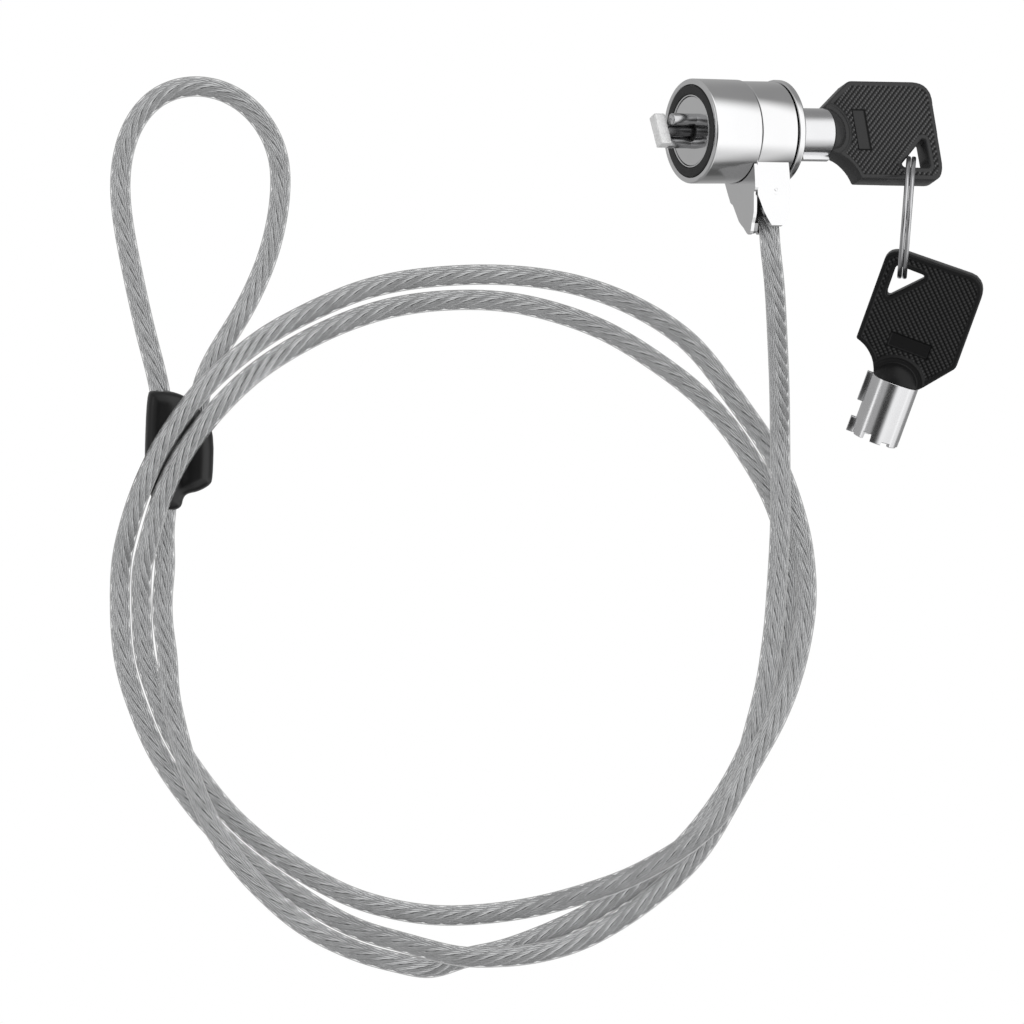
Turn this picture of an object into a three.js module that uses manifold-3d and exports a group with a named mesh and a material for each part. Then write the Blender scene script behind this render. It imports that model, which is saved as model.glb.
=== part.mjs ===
// Laptop cable lock: a tubular-key lock head on a swivel collar, a steel cable with a clear jacket
// and a sleeved eye loop, an inserted key, a split ring and a spare key.
// Millimetres, +Z up. The coil lies flat on z = 0; the lock's face looks along -X and upwards.
// "Depth" is measured backwards from the lock's front face, along the lock axis.
import * as THREE from 'three';
import { mergeVertices } from 'three/addons/utils/BufferGeometryUtils.js';
import Module from 'manifold-3d';

const wasm = await Module();
wasm.setup();

// ---------------------------------------------------------------- shared dimensions
const DEGREE = Math.PI / 180;
const ROOT_POSITION = [0.3297, 0.6431, 0.044];   // brings the bottom centre to the origin

const FACE_CENTRE = [26.885, 74.67, 33.0];
const AXIS_RISE = 31;                  // degrees up from the table
const AXIS_SWING = 0.8;                // degrees from -X towards +Y

const BORE_R = 6.7;                    // barrel bore
const NECK_R = 7.7;
const SHAFT_R = 1.6;                   // t-bar shaft
const BLOCK_R = 5.8;                   // driver block and rotor
const TBAR_ANGLE = 117;                // crossbar direction in the face plane, degrees
const TURN = 54 * DEGREE;              // how far the plug is turned from its pin line

const PIN_COUNT = 7;
const PIN_PITCH_R = 4.2;
const PIN_R = 0.58;
const CHAMBER_R = 0.78;
const BITTING = [0.6, 1.4, 1.0, 0.4, 1.6, 0.8, 1.2];   // cut depth at each pin

const TUBE_R = 4.65;                   // key tube
const TUBE_BORE_R = 3.78;
const TUBE_LENGTH = 12.1;
const KEY_SHOULDER_DEPTH = 29.6;       // bow shoulder of the inserted key
const KEY_MOUTH_DEPTH = KEY_SHOULDER_DEPTH - TUBE_LENGTH;

const LEG_ANGLE = -72;                 // collar leg's direction round the lock axis, degrees
const LEG_MID_DEPTH = 14.2;
const PIVOT_RADIUS = 13.0;             // yoke pin's distance from the lock axis
const YOKE_PIN_R = 0.9;

// ---------------------------------------------------------------- materials
const standard = (settings) => new THREE.MeshStandardMaterial(settings);
const CHROME = standard({ color: 0xcfd0d2, roughness: 0.18, metalness: 1 });
const STEEL = standard({ color: 0xb9bbbd, roughness: 0.3, metalness: 1 });
const BRASS = standard({ color: 0xb79a55, roughness: 0.35, metalness: 1 });
const ALUMINIUM = standard({ color: 0xa9abad, roughness: 0.45, metalness: 1 });
const ROPE = standard({ color: 0xa8abad, roughness: 0.4, metalness: 1 });
const PVC = standard({ color: 0xd9dbdc, roughness: 0.25, metalness: 0 });
const BLACK = standard({ color: 0x1c1c1d, roughness: 0.5, metalness: 0 });
const RUBBER = standard({ color: 0x2b2b2c, roughness: 0.8, metalness: 0 });

// ---------------------------------------------------------------- solids and meshes
const vec3 = (x, y, z) => new THREE.Vector3(x, y, z);

// Welds a geometry and turns its faces outwards, giving a manifold solid.
function solid(geometry) {
  geometry.deleteAttribute('normal');
  geometry.deleteAttribute('uv');
  const welded = mergeVertices(geometry, 1e-4);
  const positions = welded.attributes.position.array;
  const index = welded.index.array;
  const corner = (vertex) => vec3().fromArray(positions, 3 * vertex);
  const triangles = [];
  let volume = 0;
  for (let i = 0; i < index.length; i += 3) {
    const [a, b, c] = index.slice(i, i + 3);
    if (a === b || b === c || a === c) continue;
    triangles.push([a, b, c]);
    volume += corner(a).dot(corner(b).cross(corner(c))) / 6;
  }
  const outward = volume < 0 ? triangles.map(([a, b, c]) => [b, a, c]) : triangles;
  return new wasm.Manifold(new wasm.Mesh({
    numProp: 3,
    vertProperties: new Float32Array(positions),
    triVerts: new Uint32Array(outward.flat()),
  }));
}

function toGeometry(manifold) {
  const mesh = manifold.getMesh();
  const geometry = new THREE.BufferGeometry();
  const positions = new Float32Array(mesh.vertProperties);
  geometry.setAttribute('position', new THREE.BufferAttribute(positions, 3));
  geometry.setIndex(new THREE.BufferAttribute(new Uint32Array(mesh.triVerts), 1));
  geometry.computeVertexNormals();
  return geometry;
}

function add(name, shape, material, parent) {
  const mesh = new THREE.Mesh(shape.isBufferGeometry ? shape : toGeometry(shape), material);
  mesh.name = name;
  parent.add(mesh);
}

// closed profile of [radius, y] pairs turned about Y
function lathe(profile, segments) {
  const points = [...profile, profile[0]].map(([radius, y]) => new THREE.Vector2(radius, y));
  return new THREE.LatheGeometry(points, segments);
}

// closed profile of [radius, depth] pairs turned about the lock axis
function turned(profile, segments) {
  const upright = profile.map(([radius, depth]) => [radius, -depth]);
  return solid(lathe(upright, segments).rotateX(Math.PI / 2));
}

function tube(inner, outer, front, back, segments) {
  return turned([[inner, front], [outer, front], [outer, back], [inner, back]], segments);
}

// cylinder along the lock axis, from depth front to depth back
function rod(radius, front, back, segments, x = 0, y = 0) {
  return solid(new THREE.CylinderGeometry(radius, radius, back - front, segments)
    .rotateX(Math.PI / 2)
    .translate(x, y, -(front + back) / 2));
}

function block(x0, x1, y0, y1, z0, z1) {
  return solid(new THREE.BoxGeometry(x1 - x0, y1 - y0, z1 - z0)
    .translate((x0 + x1) / 2, (y0 + y1) / 2, (z0 + z1) / 2));
}

const shapeOf = (points) => new THREE.Shape(points.map(([x, y]) => new THREE.Vector2(x, y)));

function extruded(points, depth) {
  return new THREE.ExtrudeGeometry(shapeOf(points), { depth, bevelEnabled: false });
}

// [x, y] outline extruded between two depths
function slab(points, front, back) {
  return solid(extruded(points, back - front).translate(0, 0, -back));
}

// [z, y] outline extruded across X
function crossSlab(points, x0, x1) {
  return solid(extruded(points, x1 - x0).rotateY(-Math.PI / 2).translate(x1, 0, 0));
}

// [x, y] outline extruded from z0 to z1 with bevels inside its limits
function bevelled(points, z0, z1, bevel, bevelSegments) {
  return solid(new THREE.ExtrudeGeometry(shapeOf(points), {
    depth: z1 - z0 - 2 * bevel,
    bevelEnabled: true,
    bevelThickness: bevel,
    bevelSize: bevel,
    bevelOffset: -bevel,
    bevelSegments,
  }).translate(0, 0, z0 + bevel));
}

// full outline from its +X half, mirrored across x = 0
function mirrored(half) {
  const flip = ([x, y]) => [-x, y];
  const left = half.slice(1).filter(([x]) => x > 0).reverse().map(flip);
  return [flip(half[0]), ...half, ...left];
}

function polygon(radius, sides, Kind) {
  const path = new Kind();
  path.moveTo(radius, 0);
  for (let i = 1; i < sides; i++) {
    const angle = 2 * Math.PI * i / sides;
    path.lineTo(radius * Math.cos(angle), radius * Math.sin(angle));
  }
  path.closePath();
  return path;
}

function swept(extrudePath, { radius, steps, sides, bore = 0 }) {
  const section = polygon(radius, sides, THREE.Shape);
  if (bore) section.holes.push(polygon(bore, sides, THREE.Path));
  const settings = { steps, bevelEnabled: false, extrudePath, curveSegments: 1 };
  return new THREE.ExtrudeGeometry(section, settings);
}

const smoothCurve = (points) => new THREE.CatmullRomCurve3(points, false, 'centripetal');

// ---------------------------------------------------------------- groups and frames
function group(parent) {
  const child = new THREE.Group();
  parent.add(child);
  return child;
}

function orient(target, xAxis, yAxis) {
  const basis = new THREE.Matrix4().makeBasis(xAxis, yAxis, xAxis.clone().cross(yAxis));
  target.quaternion.setFromRotationMatrix(basis);
}

const root = new THREE.Group();
root.position.set(...ROOT_POSITION);

// outward normal of the lock's face, and the two directions of its plane
const axis = vec3(
  -Math.cos(AXIS_RISE * DEGREE) * Math.cos(AXIS_SWING * DEGREE),
  Math.cos(AXIS_RISE * DEGREE) * Math.sin(AXIS_SWING * DEGREE),
  Math.sin(AXIS_RISE * DEGREE),
);
const side = vec3(0, 1, 0).cross(axis).normalize();
const up = axis.clone().cross(side).normalize();

const lock = group(root);
orient(lock, side, up);
lock.position.set(...FACE_CENTRE);

const yoke = group(lock);
yoke.rotation.z = (LEG_ANGLE - 90) * DEGREE;     // the leg points along the yoke's +Y

// ---------------------------------------------------------------- cable
const JACKET = { radius: 1.95, bore: 1.72, steps: 176, sides: 7 };
const WIRE_ROPE = { radius: 1.55, steps: 176, sides: 5 };
const LEG_STATIONS = [14.7, 16.5, 18.3];         // cable points in the leg, from the lock axis

// Cable centre line [x, y, z], from outside the collar leg round the coil to the eye loop's end.
const ROUTE = [
  [42.1, 53.43, 31.3], [42.72, 47.6, 30.1], [43.17, 41.83, 27.2],
  [43.43, 36.63, 23.3], [43.65, 31.71, 19.2], [43.83, 26.92, 15.22], [43.94, 22.14, 11.43],
  [43.99, 17.13, 7.95], [44.04, 11.08, 8.21], [44.09, 4.98, 8.31], [43.99, -1.08, 7.59],
  [43.7, -7.03, 6.24], [43.32, -13.06, 5.41], [42.84, -19.15, 5.44], [42.09, -25.21, 5.67],
  [41.06, -31.23, 5.91], [39.6, -37.15, 6.05], [38.03, -43.06, 6.1], [36.31, -48.91, 5.93],
  [33.54, -54.35, 5.71], [30.44, -59.6, 5.34], [26.71, -64.41, 4.9], [22.3, -68.63, 4.63],
  [17.53, -72.42, 4.24], [12.47, -75.8, 3.7], [7.09, -78.67, 3.83], [1.4, -80.68, 4.77],
  [-4.53, -81.87, 5.55], [-10.61, -82.33, 5.99], [-16.71, -82.14, 6.1], [-22.63, -80.88, 5.77],
  [-28.38, -79.3, 4.63], [-34.15, -77.65, 3.51], [-39.66, -75.34, 2.26], [-44.93, -72.28, 1.95],
  [-50, -68.87, 1.95], [-55.01, -65.38, 1.95], [-59.78, -61.56, 1.95], [-64.15, -57.3, 1.95],
  [-68.06, -52.61, 1.95], [-71.65, -47.66, 1.95], [-74.78, -42.42, 1.95], [-77.24, -36.83, 1.95],
  [-79.3, -31.08, 1.95], [-80.72, -25.16, 1.95], [-81.31, -19.08, 1.95], [-81.42, -12.97, 1.97],
  [-81.07, -6.99, 2.95], [-80, -1.64, 5.67], [-78.37, 3.85, 7.77], [-76.15, 9.47, 8.57],
  [-73.37, 14.91, 8.6], [-70.06, 20.04, 8.6], [-66.33, 24.87, 8.39], [-62.13, 29.09, 7.11],
  [-57.73, 32.74, 4.96], [-53.04, 36.09, 2.94], [-47.8, 39.04, 1.99], [-42.3, 41.69, 1.95],
  [-36.64, 43.98, 1.95], [-30.75, 45.61, 1.95], [-24.73, 46.62, 1.95], [-18.64, 47.18, 1.95],
  [-12.54, 47.39, 1.95], [-6.43, 47.2, 1.95], [-0.36, 46.54, 1.95], [5.63, 45.33, 1.95],
  [11.45, 43.5, 1.95], [17.03, 41.02, 1.95], [22.3, 37.94, 1.95], [27.1, 34.17, 1.95],
  [31.13, 29.59, 1.95], [34.76, 24.67, 1.95], [38.33, 19.71, 2.05], [41.67, 14.71, 3.1],
  [44.35, 9.36, 4.18], [46.4, 3.63, 4.65], [47.95, -2.27, 4.82], [48.81, -8.32, 4.73],
  [49, -14.42, 4.48], [48.34, -20.48, 4.51], [47.1, -26.31, 5.77], [45.37, -31.87, 7.61],
  [43.05, -37.35, 8.99], [40.18, -42.67, 9.84], [37.14, -47.96, 10.11], [34.01, -53.2, 9.93],
  [30.04, -57.82, 9.5], [25.34, -61.6, 8.63], [20.28, -64.7, 7.19], [14.98, -67.36, 5.73],
  [9.31, -69.46, 4.94], [3.59, -71.2, 3.73], [-2.16, -72.61, 2.25], [-8.17, -73.63, 1.95],
  [-14.25, -74.23, 1.95], [-20.35, -74.36, 1.95], [-26.43, -73.76, 1.95], [-32.4, -72.47, 1.95],
  [-38.18, -70.52, 1.95], [-43.67, -67.84, 1.95], [-48.91, -64.7, 1.95], [-53.88, -61.14, 1.95],
  [-58.54, -57.2, 1.95], [-62.73, -52.76, 1.95], [-66.48, -47.94, 1.95], [-69.89, -42.87, 1.95],
  [-72.63, -37.41, 1.95], [-74.73, -31.68, 1.95], [-76.5, -25.85, 1.97], [-77.2, -19.8, 2.34],
  [-77.37, -13.76, 3.18], [-77.09, -8.16, 5.57], [-75.78, -2.61, 7.68], [-74.12, 3.19, 8.56],
  [-71.82, 8.85, 8.6], [-68.86, 14.19, 8.6], [-65.26, 19.12, 8.6], [-61.24, 23.67, 7.98],
  [-57.04, 27.66, 6.07], [-52.69, 30.94, 3.32], [-47.65, 34.03, 1.99], [-42.21, 36.8, 1.95],
  [-36.55, 39.12, 1.95], [-30.71, 40.88, 1.95], [-24.7, 41.99, 1.95], [-18.62, 42.51, 1.95],
  [-12.51, 42.54, 1.95], [-6.43, 41.96, 1.95], [-0.46, 40.69, 1.95], [5.38, 38.88, 1.95],
  [11.01, 36.52, 1.95], [16.33, 33.53, 1.95], [21.42, 30.14, 1.95], [26.3, 26.48, 1.95],
  [30.8, 22.34, 1.95], [34.75, 17.69, 1.95], [38.17, 12.63, 1.95], [41.28, 7.37, 1.95],
  [43.71, 1.77, 1.95], [45.25, -4.13, 1.95], [45.78, -10.21, 1.95], [45.48, -16.31, 1.95],
  [44.63, -22.36, 1.95], [43.27, -28.32, 1.95], [41.43, -34.14, 1.95], [39.27, -39.85, 1.95],
  [36.75, -45.42, 1.95], [33.77, -50.75, 1.95], [30.29, -55.77, 1.95], [26.37, -60.45, 1.95],
  [22.01, -64.73, 1.95], [17.17, -68.45, 1.95], [11.96, -71.64, 1.95], [6.63, -74.61, 1.95],
  [1.09, -77.2, 1.95], [-4.58, -79.48, 1.95], [-10.41, -81.28, 1.95], [-16.38, -82.59, 1.97],
  [-22.15, -84.29, 2.66], [-28.01, -83.53, 3.81], [-33.91, -82.02, 3.99], [-39.57, -79.87, 3.21],
  [-44.98, -77.1, 2.95], [-49.86, -73.61, 4.08], [-54.3, -69.54, 5.08], [-58.45, -65.1, 5.72],
  [-62.11, -60.23, 6.06], [-65.12, -54.92, 6.02], [-67.48, -49.29, 5.93], [-69.37, -43.48, 6.09],
  [-70.89, -37.57, 5.84], [-72.01, -31.59, 5.32], [-72.39, -25.63, 4.31], [-73.13, -19.75, 2.84],
  [-73.31, -13.67, 2.27], [-72.87, -7.59, 1.98], [-72.97, -1.54, 2.38], [-72.52, 4.51, 3.13],
  [-72.56, 10.62, 3.2], [-72.85, 16.72, 3.2], [-73.45, 22.8, 3.2], [-74.59, 28.78, 2.79],
  [-76.08, 34.65, 2.04], [-77.5, 40.59, 1.95], [-78.8, 46.56, 1.95], [-80, 52.55, 1.95],
  [-80.98, 58.58, 1.95], [-81.36, 64.67, 1.95], [-80.66, 70.73, 1.95], [-78.48, 76.42, 1.95],
  [-74.43, 80.92, 1.95], [-68.76, 83.03, 1.95], [-62.72, 82.48, 1.95], [-57.39, 79.57, 1.95],
  [-53.47, 74.93, 1.95], [-51.31, 69.25, 1.95], [-50.99, 63.16, 1.95], [-51.76, 57.1, 1.95],
  [-53.28, 51.19, 1.95], [-55.5, 45.5, 1.95], [-58.28, 40.06, 1.95], [-61.47, 34.85, 1.95],
  [-64.45, 29.53, 2.13], [-66.28, 23.78, 2.94], [-66.87, 17.71, 3.2], [-67, 11.6, 3.2],
];

function legPoint(radius) {
  return vec3(...FACE_CENTRE)
    .addScaledVector(axis, -LEG_MID_DEPTH)
    .addScaledVector(side, radius * Math.cos(LEG_ANGLE * DEGREE))
    .addScaledVector(up, radius * Math.sin(LEG_ANGLE * DEGREE));
}

function addCable() {
  const route = smoothCurve([...LEG_STATIONS.map(legPoint), ...ROUTE.map((p) => vec3(...p))]);
  route.arcLengthDivisions = 4000;
  add('wire_rope', swept(route, WIRE_ROPE), ROPE, root);
  add('cable_jacket', swept(route, JACKET), PVC, root);
}

// ---------------------------------------------------------------- eye loop's ferrule and sleeve
const SLEEVE_HEIGHT = 6.4;
const SLEEVE_CHANNEL_R = 2.32;
const FERRULE_CHANNEL_R = 2.2;
const STADIUM_END_STEPS = 8;
const LOOP_FERRULE = { x: [-75.15, -64.55], y: [10.9, 18.6], z: [0.75, 5.65] };
const FERRULE_POCKET = { x: [-75.4, -64.3], y: [10.65, 18.85], z: [0.55, 5.85] };
const SLEEVE_OUTLINE = [               // [x, y]
  [-76.34, 24.7], [-75.34, 25.54], [-71.99, 25.33], [-68.93, 24.32], [-66.03, 22.04],
  [-63.55, 18.05], [-63.74, 8.46], [-64.43, 7.3], [-66.59, 6.14], [-68.65, 5.78],
  [-69.41, 4.94], [-69.73, 3.23], [-71.16, 2.56], [-73.44, 2.56], [-74.77, 3.23],
  [-75.34, 4.75], [-75.91, 6.46], [-76.67, 8.55], [-76.78, 12.54],
];

// bar along Y with half-round edges towards -X and +X
function stadium({ x: [x0, x1], y: [y0, y1], z: [z0, z1] }) {
  const radius = (z1 - z0) / 2;
  const outline = [];
  for (const [centre, start] of [[x1 - radius, -Math.PI / 2], [x0 + radius, Math.PI / 2]]) {
    for (let i = 0; i <= STADIUM_END_STEPS; i++) {
      const angle = start + Math.PI * i / STADIUM_END_STEPS;
      outline.push([centre + radius * Math.cos(angle), radius * Math.sin(angle)]);
    }
  }
  return solid(extruded(outline, y1 - y0).rotateX(Math.PI / 2).translate(0, y1, (z0 + z1) / 2));
}

// Takes the cable's two passes through the sleeve out of a body.
function cutCableChannels(body, radius) {
  const entry = ROUTE.findLastIndex(([, y]) => y < 3);
  const exit = ROUTE.findIndex(([, y], i) => i > entry && y > 27);
  const reentry = ROUTE.findIndex(([, y], i) => i > exit + 6 && y < 34);
  const [tailX, tailY, tailZ] = ROUTE.at(-1);
  const outgoing = ROUTE.slice(entry - 2, exit + 3);
  const returning = [...ROUTE.slice(reentry - 2), [tailX, tailY - 0.35, tailZ]];
  const channel = (points, steps) =>
    solid(swept(smoothCurve(points.map((p) => vec3(...p))), { radius, steps, sides: 10 }));
  return body.subtract(channel(outgoing, 26)).subtract(channel(returning, 18));
}

function addLoopFittings() {
  const ferrule = cutCableChannels(stadium(LOOP_FERRULE), FERRULE_CHANNEL_R);
  add('loop_ferrule', ferrule, ALUMINIUM, root);
  const body = bevelled(SLEEVE_OUTLINE, 0, SLEEVE_HEIGHT, 0.8, 2);
  const sleeve = cutCableChannels(body, SLEEVE_CHANNEL_R).subtract(stadium(FERRULE_POCKET));
  add('loop_sleeve', sleeve, BLACK, root);
}

// ---------------------------------------------------------------- lock body
const BARREL_R = 10.0;
const BARREL_REAR_R = 9.86;
const BARREL_LENGTH = 10.2;
const NECK_END = 19.2;
const RUBBER_INNER_R = 7.03;
const RUBBER_OUTER_R = 8.72;
const RUBBER_PROUD = 0.12;             // how far the ring stands out of the face
const RUBBER_GAP = 0.08;               // between the ring and its groove's walls
const GROOVE_DEPTH = 1.2;

const DISC_R = 6.6;
const SPINDLE_HOLE_R = 1.9;
const GUIDE_R = 1.15;
const GUIDE_OFFSET = 2.42;             // guide pin's distance from the lock axis
const GUIDE_ANGLE = 63;
const GUIDE_LENGTH = 4.95;             // in front of the face
const GUIDE_TAIL = 1.9;                // behind the face

const RETAIN_ANGLE = 150;              // retaining pin's direction round the lock axis
const RETAIN_DEPTH = 6;
const RETAIN_PIN_R = 0.68;
const RETAIN_HOLE_R = 0.85;

const CASING_INNER_R = 5.95;
const CASING_OUTER_R = 6.5;
const RING_FRONT = 18.5;
const RING_BACK = 20.0;
const RING_R = 9.95;
const RING_BORE_R = NECK_R + 0.12;

// cylinder square to the lock axis, in the retaining pin's place
function radialRod(radius, inner, outer) {
  return solid(new THREE.CylinderGeometry(radius, radius, outer - inner, 12)
    .translate(0, (inner + outer) / 2, 0)
    .rotateZ((RETAIN_ANGLE - 90) * DEGREE)
    .translate(0, 0, -RETAIN_DEPTH));
}

function addFrontBarrel() {
  const grooveInner = RUBBER_INNER_R - RUBBER_GAP;
  const grooveOuter = RUBBER_OUTER_R + RUBBER_GAP;
  const barrel = turned([
    [BORE_R, 0], [grooveInner, 0], [grooveInner, GROOVE_DEPTH], [grooveOuter, GROOVE_DEPTH],
    [grooveOuter, 0], [BARREL_R - 0.5, 0], [BARREL_R - 0.15, 0.15], [BARREL_R, 0.5],
    [BARREL_REAR_R, BARREL_LENGTH - 0.1], [BARREL_REAR_R - 0.1, BARREL_LENGTH],
    [NECK_R, BARREL_LENGTH], [NECK_R, NECK_END], [BORE_R, NECK_END],
  ], 30).subtract(radialRod(RETAIN_HOLE_R, 5.5, 12));
  add('front_barrel', barrel, CHROME, lock);
  const rubber = tube(RUBBER_INNER_R, RUBBER_OUTER_R, -RUBBER_PROUD, GROOVE_DEPTH - 0.1, 30);
  add('rubber_ring', rubber, RUBBER, lock);
}

function addNose() {
  const x = GUIDE_OFFSET * Math.cos(GUIDE_ANGLE * DEGREE);
  const y = GUIDE_OFFSET * Math.sin(GUIDE_ANGLE * DEGREE);
  const disc = tube(SPINDLE_HOLE_R, DISC_R, 0.2, 2.0, 24)
    .subtract(rod(GUIDE_R + 0.12, -1, 3, 16, x, y))
    .subtract(rod(GUIDE_R + 0.12, -1, 3, 16, -x, -y));
  add('nose_disc', disc, CHROME, lock);
  const pin = turned([
    [0, GUIDE_TAIL], [GUIDE_R, GUIDE_TAIL], [GUIDE_R, 0.4 - GUIDE_LENGTH],
    [GUIDE_R - 0.35, -GUIDE_LENGTH], [0, -GUIDE_LENGTH],
  ], 16);
  add('guide_pin_upper', pin.translate([x, y, 0]), STEEL, lock);
  add('guide_pin_lower', pin.translate([-x, -y, 0]), STEEL, lock);
}

function addCasing() {
  add('retaining_pin', radialRod(RETAIN_PIN_R, 5.15, 9.3), STEEL, lock);
  const casing = tube(CASING_INNER_R, CASING_OUTER_R, 2.35, 19.6, 24)
    .subtract(radialRod(RETAIN_HOLE_R, 5, 8));
  add('lock_casing', casing, STEEL, lock);
}

function addRearRing() {
  add('rear_ring', turned([
    [RING_BORE_R, RING_FRONT], [RING_R - 0.12, RING_FRONT], [RING_R, RING_FRONT + 0.15],
    [RING_R - 0.05, RING_BACK - 0.35], [RING_R - 0.4, RING_BACK], [6.3, RING_BACK],
    [6.3, 19.75], [6.75, 19.75], [6.75, 19.35], [RING_BORE_R, 19.35],
  ], 30), CHROME, lock);
}

// ---------------------------------------------------------------- driver block, drivers, springs
const SPRING = { coilR: 0.46, turns: 4, front: 4.25, back: 9.0 };
const SPRING_WIRE = { radius: 0.13, steps: 22, sides: 3 };

function pinPlace(i, turn = 0) {
  const angle = (90 + 360 * (i + 0.5) / PIN_COUNT) * DEGREE + turn;
  return [PIN_PITCH_R * Math.cos(angle), PIN_PITCH_R * Math.sin(angle)];
}

function cutChambers(body, front, back, turn) {
  let result = body;
  for (let i = 0; i < PIN_COUNT; i++) {
    result = result.subtract(rod(CHAMBER_R, front, back, 8, ...pinPlace(i, turn)));
  }
  return result;
}

class SpringCurve extends THREE.Curve {
  constructor(x, y) {
    super();
    this.x = x;
    this.y = y;
  }

  getPoint(t, target = new THREE.Vector3()) {
    const angle = 2 * Math.PI * SPRING.turns * t;
    return target.set(
      this.x + SPRING.coilR * Math.cos(angle),
      this.y + SPRING.coilR * Math.sin(angle),
      -(SPRING.front + (SPRING.back - SPRING.front) * t),
    );
  }
}

function addDrivers() {
  const body = tube(SHAFT_R + 0.25, BLOCK_R, 2.4, 12.2, 24)
    .subtract(rod(3.2, 2, 3.4, 20))
    .subtract(radialRod(RETAIN_HOLE_R, 5.05, 8));
  add('driver_block', cutChambers(body, 3.9, 13, 0), BRASS, lock);
  for (let i = 0; i < PIN_COUNT; i++) {
    const place = pinPlace(i);
    add(`driver_pin_${i + 1}`, rod(PIN_R, 9.3, 12.1, 8, ...place), STEEL, lock);
    const spring = swept(new SpringCurve(...place), SPRING_WIRE);
    add(`driver_spring_${i + 1}`, spring, STEEL, lock);
  }
}

// ---------------------------------------------------------------- turning parts
const ROTOR_FRONT = 12.35;
const ROTOR_BACK = 17.2;
const POST_R = 3.42;
const POST_END = 19.6;
const SHAFT_NECK_R = 1.08;
const CLIP_GROOVE_R = 1.15;
const CROSSBAR = { length: 6.4, width: 2.2, thickness: 2.4, chamfer: 0.45, bevel: 0.25 };
const CROSSBAR_TOP = 7.7;              // in front of the face

// square bar along the lock axis, turned with the crossbar
function squareBar(halfWidth, back) {
  return block(-halfWidth, halfWidth, -halfWidth, halfWidth, -back, -12)
    .rotate([0, 0, TBAR_ANGLE]);
}

function addRotor() {
  const body = turned([
    [0, ROTOR_FRONT], [BLOCK_R, ROTOR_FRONT], [BLOCK_R, ROTOR_BACK], [POST_R, ROTOR_BACK],
    [POST_R, POST_END - 0.3], [POST_R - 0.3, POST_END], [0, POST_END],
  ], 24).subtract(squareBar(1.3, 15.4));
  add('rotor', cutChambers(body, 12, 17.5, TURN), BRASS, lock);
  BITTING.forEach((cut, i) => {
    const back = KEY_MOUTH_DEPTH + cut - 0.1;
    const pin = rod(PIN_R, ROTOR_FRONT + 0.02, back, 8, ...pinPlace(i, TURN));
    add(`key_pin_${i + 1}`, pin, STEEL, lock);
  });
}

function addTBar() {
  const { length, width, thickness, chamfer, bevel } = CROSSBAR;
  const endX = length / 2;
  const edgeY = width / 2;
  const outline = [
    [chamfer - endX, -edgeY], [endX - chamfer, -edgeY],
    [endX, chamfer - edgeY], [endX, edgeY - chamfer],
    [endX - chamfer, edgeY], [chamfer - endX, edgeY],
    [-endX, edgeY - chamfer], [-endX, chamfer - edgeY],
  ];
  const crossbar = bevelled(outline, CROSSBAR_TOP - thickness, CROSSBAR_TOP, bevel, 1)
    .rotate([0, 0, TBAR_ANGLE]);
  const shaft = turned([
    [0, 1 - CROSSBAR_TOP], [SHAFT_NECK_R, 1 - CROSSBAR_TOP], [SHAFT_NECK_R, 2.05],
    [SHAFT_R, 2.05], [SHAFT_R, 2.6], [CLIP_GROOVE_R, 2.6], [CLIP_GROOVE_R, 3.25],
    [SHAFT_R, 3.25], [SHAFT_R, 12.25], [0, 12.25],
  ], 20).add(squareBar(1.1, 15.1));
  add('t_bar', crossbar.add(shaft), CHROME, lock);
  const clip = tube(1.27, 2.8, 2.68, 3.17, 20).subtract(block(-0.9, 0.9, 0, 4, -4, -2));
  add('spindle_clip', clip, STEEL, lock);
}

// ---------------------------------------------------------------- swivel collar with hollow leg
const COLLAR_FRONT = 10.55;
const COLLAR_BACK = 18.25;
const COLLAR_R = 9.62;
const COLLAR_BORE_R = 7.88;
const LEG_BACK = 17.35;
const LEG_END = 19.6;                  // leg's tip, from the lock axis
const PLATE_FRONT = 9.5;               // thin front plate of the leg, cut round the barrel
const PLATE_BACK = 10.15;
const PLATE_ARC_R = 10.15;
const PLATE_END = 20.4;
const OVERLAP = 0.05;                  // lets stacked pieces fuse

// +X halves of the leg's outlines, [x, y] in the yoke frame
const LEG_FLANK = [[4.65, 13], [3.9, 15.2], [3.3, 17.2], [2.95, LEG_END]];
const LEG_HALF = [[5.6, 6.2], [5.4, 9], ...LEG_FLANK];
const LEG_FRONT_HALF = [[5.32, 9.4], ...LEG_FLANK];
const PLATE_HALF = [
  [5.7, 8.5], [4.85, 12.7], [4.1, 13.3], [2.8, 17], [1.55, 18.6], [0.7, PLATE_END - 0.2],
  [0, PLATE_END],
];
const LIP_HALF = [[1.5, 18.7], [0.7, PLATE_END - 0.2]];
const CAVITY_HALF = [[4.3, 11.2], [3.85, 13], [3.15, 15.2], [2.6, 17.2], [2.28, 21]];

// cuts seen from the side, [z, y] in the yoke frame
const WINDOW = [
  [-10.15, 13.9], [-10.15, 21], [-13.6, 21], [-13.2, 19.9], [-12.7, 19.0], [-11.3, 16.6],
  [-10.5, 14.7],
];
const HEEL = [
  [-18.4, 16.2], [-17.36, 16.2], [-17.0, 17.6], [-16.4, 18.7], [-15.7, LEG_END + 0.05],
  [-15.7, 20.6], [-18.4, 20.6],
];

// cylinder across the leg, on the yoke pin's line
function pivotCylinder(radius, length) {
  return new THREE.CylinderGeometry(radius, radius, length, 16)
    .rotateZ(Math.PI / 2)
    .translate(0, PIVOT_RADIUS, -LEG_MID_DEPTH);
}

// cylinder along the leg
function legCylinder(radius, y0, y1) {
  return solid(new THREE.CylinderGeometry(radius, radius, y1 - y0, 16)
    .translate(0, (y0 + y1) / 2, -LEG_MID_DEPTH));
}

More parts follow.
